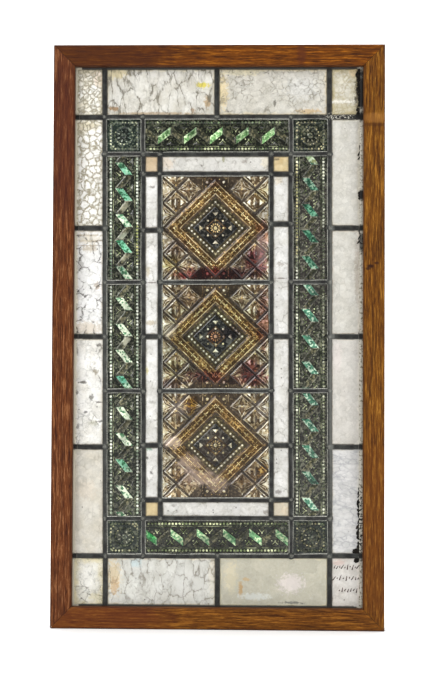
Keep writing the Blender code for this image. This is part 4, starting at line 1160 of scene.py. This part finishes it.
pale_bead = pressed("pale green bead", (110, 128, 104), (186, 200, 174), (244, 248, 232), 1.6, 190.0, 0.5,
                    roughness=0.12, uneven=0.25,
                    stains=[(90, 212, 5, 30, (212, 204, 132), 0.9), (60, 222, 5, 34, (128, 156, 132), 0.85)])
half_dull_bead = pressed("half dull green bead", (84, 96, 74), (164, 172, 142), (240, 242, 220), 1.6, 190.0,
                         0.5, roughness=0.12, uneven=0.4,
                         stains=[(291, 300, 8, 300, (150, 152, 122), 0.9),
                                 (257, 175, 5, 70, (228, 214, 162), 0.9)])
border_beads = {
    side: bead(f"border_bead_{side}", 1.35, 1.0, 8, finish)
    for side, finish in (("top", bead_green), ("bottom", bead_green), ("left", pale_bead),
                         ("right", half_dull_bead))
}
bay_bead = bead("bay_bead", 0.8, 0.7, 6, bead_green)
bay_chevron = chevron("bay_chevron", bead_green)
bright_legs = {side: leg(f"bright_leg_{side}", 1, 0.8 * MM, 0.15, finish)
               for side, finish in leg_green.items()}
return_leg = leg("return_leg", -1, 1.4 * MM, 0.0, dull_green)
print("one leg has", triangles(return_leg), "triangles, one bead", triangles(border_beads["top"]))

# %% [markdown]
# A border strip is its solid with this relief on it. The solid brings the plate, the ribbon and the rails;
# a copy of it is merged, because solids arrive as loose triangles. On the bench the strip runs along X, the
# beads stand in two rows made with an Array modifier, and what passes the strip's ends is cut off. The side
# strips run downwards, the top one to the right, and the bottom one is the top one mirrored.

# %% Border strips
RIBBON_PITCH, RAIL_OFFSET, RAIL_HALF_WIDTH, LINE_OFFSET = 27.6 * MM, 14.0 * MM, 1.3 * MM, 11.4 * MM
BEAD_STEP, BAY_OFFSET = 3.6 * MM, 6.4 * MM
FIRST_LEG = {"green_top": 22.6, "green_bottom": 7.8, "green_left_1": 15.5, "green_left_2": 23.0,
             "green_left_3": 23.6, "green_right_1": 4.5, "green_right_2": 7.5, "green_right_3": 8.6}


def merged_copy(name, finish):
    """A copy of a pane's solid with its loose triangles merged, in one finish."""
    copy = placed(name, solids[name])
    edit_all(copy)
    bpy.ops.mesh.remove_doubles(threshold=0.001 * MM)
    leave_edit()
    copy.data.materials.clear()
    copy.data.materials.append(finish)
    bpy.ops.object.shade_flat()
    return copy


def bead_row(model, length, step, across, up):
    """A row of beads along X, by an Array modifier on a copy of one bead."""
    count = int(length / step)
    row = only(placed("bead row", model))
    modifier = row.modifiers.new("row", "ARRAY")
    modifier.count = count
    modifier.use_relative_offset = False
    modifier.use_constant_offset = True
    modifier.constant_offset_displace = (step, 0, 0)
    bpy.ops.object.modifier_apply(modifier="row")
    row.location = (-(count - 1) * step / 2, across, up)
    return row


def cut_to(obj, half_width, half_height):
    """Cuts off what passes the pane's edges on the bench, closes the cuts and clears lone faces on them."""
    edit_all(obj)
    for axis, half in (((1, 0, 0), half_width), ((0, 1, 0), half_height)):
        for way in (-1, 1):
            bpy.ops.mesh.select_all(action="SELECT")
            plane = [value * way * half for value in axis]
            normal = [value * way for value in axis]
            bpy.ops.mesh.bisect(plane_co=plane, plane_no=normal, clear_outer=True)
            bpy.ops.mesh.select_all(action="SELECT")
            bpy.ops.mesh.fill_holes(sides=0)
    bpy.ops.mesh.select_all(action="DESELECT")
    bpy.ops.mesh.select_non_manifold(use_wire=False, use_multi_face=False, use_non_contiguous=False,
                                     use_verts=False)
    bpy.ops.mesh.delete(type="VERT")
    leave_edit()


def dressed(name, relief, ground, mirrored=False):
    """Joins relief, already stood up, to a merged copy of its pane, which it then stands for."""
    if mirrored:
        edit_all(relief)
        bpy.ops.mesh.normals_make_consistent(inside=False)
        leave_edit()
    made = one_mesh(f"{name}_glass", [merged_copy(name, ground), relief])
    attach(made, "root")
    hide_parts(name)
    return made


def border_strip(name):
    side = name.split("_")[1]
    middle, right, up, half_width, half_height = pane_place(name)
    upright = side in ("left", "right")
    half_length, half_across = (half_height, half_width) if upright else (half_width, half_height)
    along, across = {"top": (right, up), "bottom": (right, -up)}.get(side, (-up, right))
    rail = min(RAIL_OFFSET, half_across - RAIL_HALF_WIDTH)
    first = FIRST_LEG[name] * MM - HALF_LEAD - RELIEF_MARGIN - half_length
    turns = range(-1, math.ceil(2 * half_length / RIBBON_PITCH) + 1)
    middles = [first + turn * RIBBON_PITCH for turn in turns]
    parts = [
        copies("bright legs", bright_legs[side], [(x, 0, 0) for x in middles]),
        copies("return legs", return_leg, [(x + RIBBON_PITCH / 2, 0, 0) for x in middles]),
    ]
    bays = [(x + RIBBON_PITCH * part, way * BAY_OFFSET)
            for x in middles for part, way in ((0.25, -1), (-0.25, 1))]
    parts.append(copies("bay chevrons", bay_chevron, [(x, y, 0.6 * MM) for x, y in bays],
                        [0 if y < 0 else math.pi for x, y in bays]))
    parts.append(copies("bay beads", bay_bead, [
        (x + dx * MM, y - math.copysign(dy * MM, y), 0.5 * MM)
        for x, y in bays for dx, dy in ((0, 2.2), (-3.6, -2.6), (3.6, -2.6))]))
    for way in (-1, 1):
        parts.append(bead_row(border_beads[side], 2 * half_length, BEAD_STEP, way * rail, 0.35 * MM))
        line = thread("border line", 2 * half_length, 0.7, 0.7, bead_green)
        line.location = (0, way * LINE_OFFSET, 0.2 * MM)
        parts.append(line)
    relief = one_mesh(name + "_relief", parts)
    cut_to(relief, half_length, half_across)
    stood_up(relief, middle, along, across)
    return dressed(name, relief, ground_green, mirrored=side == "bottom")


strips = [border_strip(name) for name in STRIPS]
print(len(strips), "strips, the largest with", max(triangles(strip) for strip in strips), "triangles")

# %% [markdown]
# The border's four corner squares hold a ring round a boss. Beads go round the square's rail and round the
# ring, and eight petals lie between ring and boss. They are laid out with plain trigonometry.

# %% Corner squares
petal_green = bead("petal", 1.0, 0.8, 6, petal_glass)
edit_all(petal_green)
bpy.ops.transform.resize(value=(2.1, 0.9, 1))
leave_edit()
ring_bead = bead("ring_bead", 0.85, 0.8, 6, dim_bead)
square_bead = bead("square_bead", 1.2, 0.8, 6, dim_bead)


def on_circle(radius, angle, height):
    """A bench place from a radius and a height in millimetres."""
    return (radius * MM * math.cos(angle), radius * MM * math.sin(angle), height * MM)


def corner_square(name):
    middle, right, up, half_width, half_height = pane_place(name)
    border = min(RAIL_OFFSET, half_width - RAIL_HALF_WIDTH, half_height - RAIL_HALF_WIDTH)
    steps = [(i - 3.5) * BEAD_STEP for i in range(8)]
    rails = [(step, way * border, 0.35 * MM) for step in steps for way in (-1, 1)]
    rails += [(way * border, step, 0.35 * MM) for step in steps for way in (-1, 1)]
    round_ring = [math.tau * i / 16 for i in range(16)]
    eighths = [math.tau * (i + 0.5) / 8 for i in range(8)]
    corners = [(x * LINE_OFFSET, y * LINE_OFFSET, 0.2 * MM) for x in (-1, 1) for y in (-1, 1)]
    relief = one_mesh(name + "_relief", [
        copies("rail beads", square_bead, rails),
        copies("ring beads", ring_bead, [on_circle(9.4, angle, 0.9) for angle in round_ring]),
        copies("petals", petal_green, [on_circle(5.9, angle, 0.1) for angle in eighths], eighths),
        copies("corner beads", square_bead, corners),
    ])
    cut_to(relief, half_width, half_height)
    stood_up(relief, middle, right, up)
    return dressed(name, relief, ring_green)


squares = [corner_square(name) for name in ROSETTES]
clear_bench(*border_beads.values(), bay_bead, bay_chevron, return_leg, petal_green, ring_bead, square_bead,
            *bright_legs.values())
print(len(squares), "corner squares with", triangles(squares[0]), "triangles each")

# %% [markdown]
# The three big tiles are the same pressing, stained amber, with a square of nearly black glass in the middle
# and ruby washed over parts of them. Each kind of surface has its own finish, ten in all: the low ground,
# the gold band with its lines and dots, the brown, the cream and the bright facets, the dark field, the
# olive rail and the beads. Some facets take one of the bright, cream, brown and ground finishes by the way
# they face, which is painted light and shade, and the beads' pale cream is a painted highlight. Ruby, plum,
# umber and pale patches lie over all of them at the same places on their fronts, so they cross from band to
# facet as the real ones do.

# %% Finishes of the tiles
RUBY, PLUM, UMBER, OLIVE = (160, 62, 76), (150, 120, 140), (186, 150, 120), (206, 204, 150)
TILE_STAINS = (
    (166, 243, 50, 9, RUBY, 0.95), (214, 228, 15, 20, RUBY, 0.9), (205, 240, 26, 8, PLUM, 0.7),
    (222, 200, 10, 16, (206, 120, 116), 0.6), (209, 343, 18, 15, RUBY, 0.85), (166, 351, 30, 9, RUBY, 0.85),
    (223, 290, 9, 40, (196, 130, 130), 0.8), (210, 354, 26, 7, RUBY, 0.8), (125, 358, 16, 6, PLUM, 0.7),
    (188, 304, 13, 11, PLUM, 0.8), (214, 300, 14, 16, UMBER, 0.6), (150, 270, 26, 12, UMBER, 0.5),
    (170, 145, 10, 8, PLUM, 0.7), (133, 215, 14, 12, PLUM, 0.5), (126, 232, 14, 12, OLIVE, 0.8),
    (222, 160, 10, 14, OLIVE, 0.5), (205, 345, 10, 10, PLUM, 0.6), (130, 345, 12, 14, OLIVE, 0.5),
    (147, 381, 10, 11, (226, 188, 84), 0.95), (223, 449, 6, 9, (228, 190, 92), 0.9),
    (172, 308, 9, 9, (206, 140, 132), 0.8), (191, 307, 5, 5, (76, 56, 66), 0.9),
    (210, 225, 14, 12, PLUM, 0.6), (140, 455, 16, 12, UMBER, 0.5), (205, 455, 20, 12, UMBER, 0.5),
    (172, 308, 90, 60, (222, 228, 216), 0.9), (172, 422, 90, 60, (226, 222, 208), 0.9),
    (172, 193, 24, 24, (232, 222, 206), 0.9),
)
TILE_WASHES = (
    (128, 419, 12, 8, (156, 142, 130), 0.9), (145, 441, 15, 10, (140, 122, 110), 0.8),
    (158, 456, 18, 10, (140, 122, 110), 0.8), (175, 464, 14, 9, (136, 120, 110), 0.7),
    (124, 302, 8, 10, (110, 106, 92), 0.8),
    (134, 383, 12, 10, (84, 78, 76), 0.7), (222, 385, 8, 10, (84, 80, 78), 0.7),
    (221, 218, 8, 20, (110, 92, 90), 0.7), (172, 424, 22, 22, (44, 32, 22), 0.8),
)
LUSTRE = 0.3


def tile_glass(*look, **more):
    """A pressed glass with the stains and washes that all three tiles share."""
    return pressed(*look, stains=TILE_STAINS, washes=TILE_WASHES, **more)


tile_finishes = {
    "ground": tile_glass("amber ground", (62, 52, 40), (92, 76, 56), (136, 118, 90), 1.2, 600.0, 0.3),
    "gold": tile_glass("gold band", (54, 40, 22), (104, 78, 44), (190, 154, 98), 1.2, 620.0, 0.2, LUSTRE),
    "line": tile_glass("gold line", (120, 98, 60), (206, 182, 128), (244, 226, 180), 1.2, 300.0, 0.5, LUSTRE),
    "dot": tile_glass("gold dot", (150, 118, 66), (226, 194, 124), (252, 234, 176), 1.6, 260.0, 0.5, LUSTRE,
                      roughness=0.12),
    "brown": tile_glass("brown facet", (56, 44, 30), (130, 106, 74), (204, 184, 146), 1.4, 440.0, 0.36, 0.15,
                        uneven=0.5),
    "cream": tile_glass("cream facet", (126, 112, 84), (196, 182, 150), (246, 240, 222), 1.3, 480.0, 0.35,
                        uneven=0.5),
    "bright": tile_glass("bright facet", (166, 156, 122), (222, 214, 186), (250, 248, 234), 1.3, 420.0, 0.4),
    "field": tile_glass("dark field", (16, 18, 18), (44, 46, 46), (104, 104, 100), 1.2, 480.0, 0.42),
    "olive": tile_glass("olive rail", (66, 58, 38), (100, 88, 58), (140, 128, 92), 1.0, 520.0, 0.35),
    # painted highlight: the beads' pale cream stands for the light shining through and on them
    "bead": tile_glass("cream bead", (150, 140, 104), (226, 216, 172), (250, 246, 226), 1.6, 190.0, 0.5,
                       roughness=0.12),
}
print("tile finishes:", ", ".join(tile_finishes))

# %% [markdown]
# The tile's pattern is laid out on eighths of the tile: a big lozenge with a gold band, a rail of beads and a
# dark field with four small triangles, and in the corners small lozenge cells, some with a star and some
# with an upright lens. The solids bring these main forms. On the bench come the threads along the band,
# the small flowers of beads on it, the rail's beads, the petals of the middle, and the outlines of the stars.

# %% Tile relief on the bench
EIGHTHS = 8
FLOWER_RADIUS, RAIL_BEAD_RADIUS, STAR_SIZE, STAR_NOTCH = 3.15, 2.02, 0.86, 0.46
_, _, _, tile_half_width, tile_half_height = pane_place("tile_middle")
across_unit, up_unit = 2 * tile_half_width / EIGHTHS, 2 * tile_half_height / EIGHTHS
cream_bead, gold_line, gold_dot = (tile_finishes[kind] for kind in ("bead", "line", "dot"))


def at(u, v, height=0.0):
    """A bench place from eighths of the tile, with a height in millimetres."""
    return (u * across_unit, v * up_unit, height * MM)


def on_lozenge(radius, count, shift=0.0):
    """Places round a lozenge, count to a side, with the way that each side runs."""
    places, turns = [], []
    for quarter in range(4):
        for i in range(count):
            share = (i + shift) / count
            u, v = radius * (1 - share), radius * share
            for _ in range(quarter):
                u, v = -v, u
            places.append((u, v))
            turns.append(math.pi / 4 + quarter * math.pi / 2)
    return places, turns


def lozenge_thread(name, radius, width, base, height, finish):
    """A raised line round the lozenge: a filled four-cornered circle, inset up and down, and hollowed."""
    bpy.ops.mesh.primitive_circle_add(vertices=4, radius=1.0, fill_type="NGON",
                                      location=(0, 0, (base - 0.3) * MM))
    made = bpy.context.active_object
    bpy.ops.object.transform_apply(location=True)
    enter_edit()
    bpy.ops.mesh.select_all(action="SELECT")
    bpy.ops.transform.resize(value=(radius * across_unit, radius * up_unit, 1))
    steps_up(((0, 0.3 * MM), (width / 2 * MM, height * MM), (width / 2 * MM, -height * MM), (0, -0.3 * MM)))
    hollowed(made)
    return named(made, name, finish)


small_bead = bead("small_bead", 0.72, 0.6, 6, gold_dot)
single_bead = bead("single_bead", 0.95, 0.7, 6, gold_dot)
rail_bead = bead("rail_bead", 1.15, 0.95, 8, cream_bead)
petal = bead("petal", 0.8, 0.7, 6, gold_line)
edit_all(petal)
bpy.ops.transform.resize(value=(1.9, 1.0, 1))
leave_edit()
flower = copies("flower", small_bead,
                [(0, 0, 0), (1.5 * MM, 0, 0), (-1.5 * MM, 0, 0), (0, 1.5 * MM, 0), (0, -1.5 * MM, 0)])
print("a small flower has", triangles(flower), "triangles")

# %% [markdown]
# A star's outline is a circle of eight corners, of which every second one is pulled in, made into a raised
# line like the lozenges. The pieces are then copied to their cells, and what passes the tile's edge is cut.

# %% Star outlines and the whole pattern
bpy.ops.mesh.primitive_circle_add(vertices=8, radius=1.0, fill_type="NGON", location=(0, 0, 0.4 * MM))
star = bpy.context.active_object
bpy.ops.object.transform_apply(location=True)
edit_corners(star, lambda co: abs(abs(co.x) - abs(co.y)) < 0.1)
bpy.ops.transform.resize(value=(STAR_NOTCH, STAR_NOTCH, 1))
bpy.ops.mesh.select_mode(type="FACE")
bpy.ops.mesh.select_all(action="SELECT")
bpy.ops.transform.resize(value=(STAR_SIZE * across_unit, STAR_SIZE * up_unit, 1))
steps_up(((0, 0.4 * MM), (0.35 * MM, 0.35 * MM), (0.35 * MM, -0.35 * MM), (0, -0.4 * MM)))
hollowed(star)
named(star, "star", tile_finishes["cream"])

STAR_CELLS = [(x * u, y * v) for u, v in ((2, 3), (4, 3), (4, 1)) for x in (-1, 1) for y in (-1, 1)]
LENS_CELLS = [(x * u, y * v) for u, v in ((3, 2), (3, 4)) for x in (-1, 1) for y in (-1, 1)]
flower_places, flower_turns = on_lozenge(FLOWER_RADIUS, 10, 0.5)
single_places, _ = on_lozenge(FLOWER_RADIUS, 10)
rail_places, _ = on_lozenge(RAIL_BEAD_RADIUS, 9)
petal_turns = [math.tau * i / 12 for i in range(12)]
parts = [
    lozenge_thread("outer line", 3.66, 1.1, 0.75, 0.55, gold_line),
    lozenge_thread("inner line", 2.76, 1.1, 0.75, 0.55, gold_line),
    lozenge_thread("field line", 1.79, 0.8, 0.0, 0.7, tile_finishes["olive"]),
    copies("flowers", flower, [at(u, v, 1.05) for u, v in flower_places], flower_turns),
    copies("single beads", single_bead, [at(u, v, 1.05) for u, v in single_places]),
    copies("rail beads", rail_bead, [at(u, v, 0.5) for u, v in rail_places]),
    copies("petals", petal, [on_circle(4.3, turn, 0.5) for turn in petal_turns], petal_turns),
    copies("star outlines", star, [at(u, v) for u, v in STAR_CELLS]),
    copies("star beads", single_bead, [at(u, v, 1.3) for u, v in STAR_CELLS]),
    copies("lens beads", single_bead, [at(u, v + way * 0.66, 0.6) for u, v in LENS_CELLS for way in (-1, 1)]),
    copies("field beads", rail_bead, [at(x * 0.57, y * 0.57, 1.0) for x in (-1, 1) for y in (-1, 1)]),
    copies("middle beads", rail_bead,
           [at(x * 0.6, y * 0.6, 0.8) for x, y in ((-1, 0), (1, 0), (0, -1), (0, 1))]),
    copies("apex beads", rail_bead, [at(x * 0.63, y * 3.56, 1.1) for x in (-1, 1) for y in (-1, 1)]),
    copies("apex small beads", small_bead,
           [at(x * u, y * v, 0.0) for u, v in ((0.30, 3.80), (0.74, 3.26), (0.8, 3.84))
            for x in (-1, 1) for y in (-1, 1)]),
]
tile_pattern = one_mesh("tile_pattern", parts)
cut_to(tile_pattern, tile_half_width, tile_half_height)
clear_bench(small_bead, single_bead, rail_bead, petal, flower, star)
print("the pattern has", triangles(tile_pattern), "triangles")

# %% [markdown]
# Each tile is a merged copy of its solid, whose faces get their finish by where they lie on the tile, how
# high they stand and which way they face, joined with a copy of the pattern. A star's facets are cream
# where they face up and brown elsewhere, and a lens's are bright, cream or ground by the way they face.
# This is painted light and shade: a lighter finish on the side taken as lit, a darker one on the other.

# %% Tiles
FIELD_RADIUS, RAIL_RADIUS, BAND_RADIUS = 1.76, 2.4, 3.86


def tile_zone(u, v, height, normal):
    """Which finish a face of the tile has, from its place in eighths, its height in mm and its normal."""
    radius = abs(u) + abs(v)
    if radius < FIELD_RADIUS:
        if height <= 0.6:
            return "field"
        if radius < 0.3:
            return "bead"
        return "bright" if radius > 0.95 and min(abs(u), abs(v)) < 0.3 else "gold"
    if radius < RAIL_RADIUS:
        return "olive"
    if radius < BAND_RADIUS:
        return "gold"
    if height < 0.72 and normal.z > 0.96:
        return "brown" if height > 0.5 else "ground"
    # painted light and shade: below, raised facets take a lighter or darker finish by the way they face
    if height > 0.3:
        near_lens = min((abs(u - lens_u) + abs(v - lens_v), (u - lens_u)) for lens_u, lens_v in LENS_CELLS)
        if near_lens[0] < 0.93:
            return "bright" if abs(near_lens[1]) > 0.3 else "cream" if normal.x < 0 else "ground"
        if abs(u) > 3.3:
            return "bright" if abs(normal.x) > 0.1 else "cream"
        return "cream" if normal.y > 0.15 and abs(normal.x) < 0.8 else "brown"
    return "ground"


def dressed_tile(name):
    middle, right, up, half_width, half_height = pane_place(name)
    zones = list(tile_finishes)
    base = merged_copy(name, tile_finishes[zones[0]])
    for zone in zones[1:]:
        base.data.materials.append(tile_finishes[zone])
    for face in base.data.polygons:
        flat = Vector((face.center.x, face.center.z)) - middle
        normal = Vector((face.normal.x, face.normal.z, -face.normal.y))
        height = (PRESSED_FRONT - face.center.y) / MM
        u, v = flat.dot(right) / across_unit, flat.dot(up) / up_unit
        if height > 0.02:
            face.material_index = zones.index(tile_zone(u, v, height, normal))
        elif height > -0.5 and abs(u) + abs(v) < 2.7:
            face.material_index = zones.index("olive")
    pattern = stood_up(placed(f"{name}_pattern", tile_pattern), middle, right, up)
    made = one_mesh(f"{name}_glass", [base, pattern])
    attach(made, "root")
    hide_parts(name)
    return made


tiles = [dressed_tile(name) for name in TILES]
clear_bench(tile_pattern)
print(len(tiles), "tiles with", triangles(tiles[0]), "triangles each")

# %% [markdown]
# Along the right edge the putty between panel and frame has gone black and broken away, and left ragged
# dark lumps on the glass. One lump is a ball with its corners shaken, and is laid along the edge in many
# sizes, three to each run, so that no two runs have the same outline.

# %% Broken putty
putty, tree, shader, place = new_finish("black putty", 0.75)
crumbs = fac(tree, place, 500.0, 5.0, 0.65)
tree.links.new(over(tree, soft_step(tree, crumbs, 0.45, 0.75), (20, 18, 16), (66, 58, 48)),
               shader.inputs["Base Color"])
shader.inputs["Specular IOR Level"].default_value = 0.1
bump(tree, shader, crumbs, 0.0006, 1.0)
bpy.ops.mesh.primitive_ico_sphere_add(subdivisions=3, radius=0.5)
lump = bpy.context.active_object
enter_edit()
bpy.ops.mesh.select_all(action="SELECT")
bpy.ops.transform.vertex_random(offset=0.13, seed=8)
leave_edit()
lump.data.materials.append(putty)
PUTTY_ACROSS = FRAME_WIDTH / MM - 26.3
PUTTY_RUNS = ((24, 40, 5.0), (40, 57, 4.2), (57, 66, 2.6), (68, 79, 6.0), (108, 122, 1.6), (156, 165, 2.4),
              (196, 210, 1.5), (300, 312, 1.2), (466, 476, 1.8), (479, 492, 3.0), (492, 508, 2.2),
              (508, 520, 3.6), (522, 533, 3.0), (531, 543, 7.5))
lumps = []
for i, (start, end, wide) in enumerate(PUTTY_RUNS):
    for third in range(3):
        reach = wide * (0.75 + 0.5 * math.sin(i * 2.3 + third * 1.9) ** 2)
        long = (end - start) * (0.36 + 0.22 * math.cos(i * 1.7 + third * 2.6) ** 2)
        x, z = seen_at(PUTTY_ACROSS, start + (end - start) * (third + 0.5) / 3)
        lumps.append(placed("putty lump", lump, (x - 0.3 * reach * MM, GLASS_FRONT - 0.3 * MM, z),
                            (0, math.radians(40) * math.sin(i * 3.1 + third), 0),
                            (reach * MM, 1.8 * MM, long * MM)))
putty_remains = one_mesh("putty_remains", lumps)
clear_bench(lump)
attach(putty_remains, "root")
print(len(PUTTY_RUNS), "runs of putty,", triangles(putty_remains), "triangles")

# %% [markdown]
# The lower right corner pane carries three rows of small brush strokes in red-brown iron paint. They are
# shallow strokes of one brush, plain dashes and ticks at a slant, thicker at one end.

# %% Painted strokes
iron_paint, tree, shader, place = new_finish("iron paint", 0.5)
thin = fac(tree, place, 900.0, 3.0)
tree.links.new(over(tree, soft_step(tree, thin, 0.4, 0.65), (36, 20, 18), (78, 48, 44)),
               shader.inputs["Base Color"])
shader.inputs["Specular IOR Level"].default_value = 0.1
bump(tree, shader, thin, 0.0001, 0.5)
bpy.ops.mesh.primitive_cube_add(size=1)
stroke = bpy.context.active_object
enter_edit()
bpy.ops.transform.resize(value=(1.25 * MM, 0.14 * MM, 4.8 * MM))
leave_edit()
edit_faces(stroke, lambda centre, normal: normal.z > 0.9)
bpy.ops.transform.resize(value=(0.45, 1, 1))
bpy.ops.mesh.select_all(action="SELECT")
bpy.ops.mesh.bevel(offset=0.04 * MM, segments=2)
leave_edit()
stroke.data.materials.append(iron_paint)
STROKE_ROWS = ((548.5, 298.0, 10, 2.7), (560.0, 297.5, 9, 3.2), (572.5, 303.0, 7, 3.0))
strokes = []
for row, (down, start, count, step) in enumerate(STROKE_ROWS):
    for i in range(count):
        x, z = seen_at(start + i * step, down + 0.5 * math.sin(i * 1.9 + row))
        strokes.append(placed("stroke", stroke, (x, GLASS_FRONT - 0.03 * MM, z),
                              (0, math.radians(24 + 16 * math.sin(i * 2.3 + row * 1.4)), 0),
                              (1.0, 1.0, 0.75 + 0.45 * math.sin(i * 2.9 + row * 2.0))))
painted_strokes = one_mesh("painted_strokes", strokes)
clear_bench(stroke)
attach(painted_strokes, "root")
print(len(strokes), "strokes in", len(STROKE_ROWS), "rows")
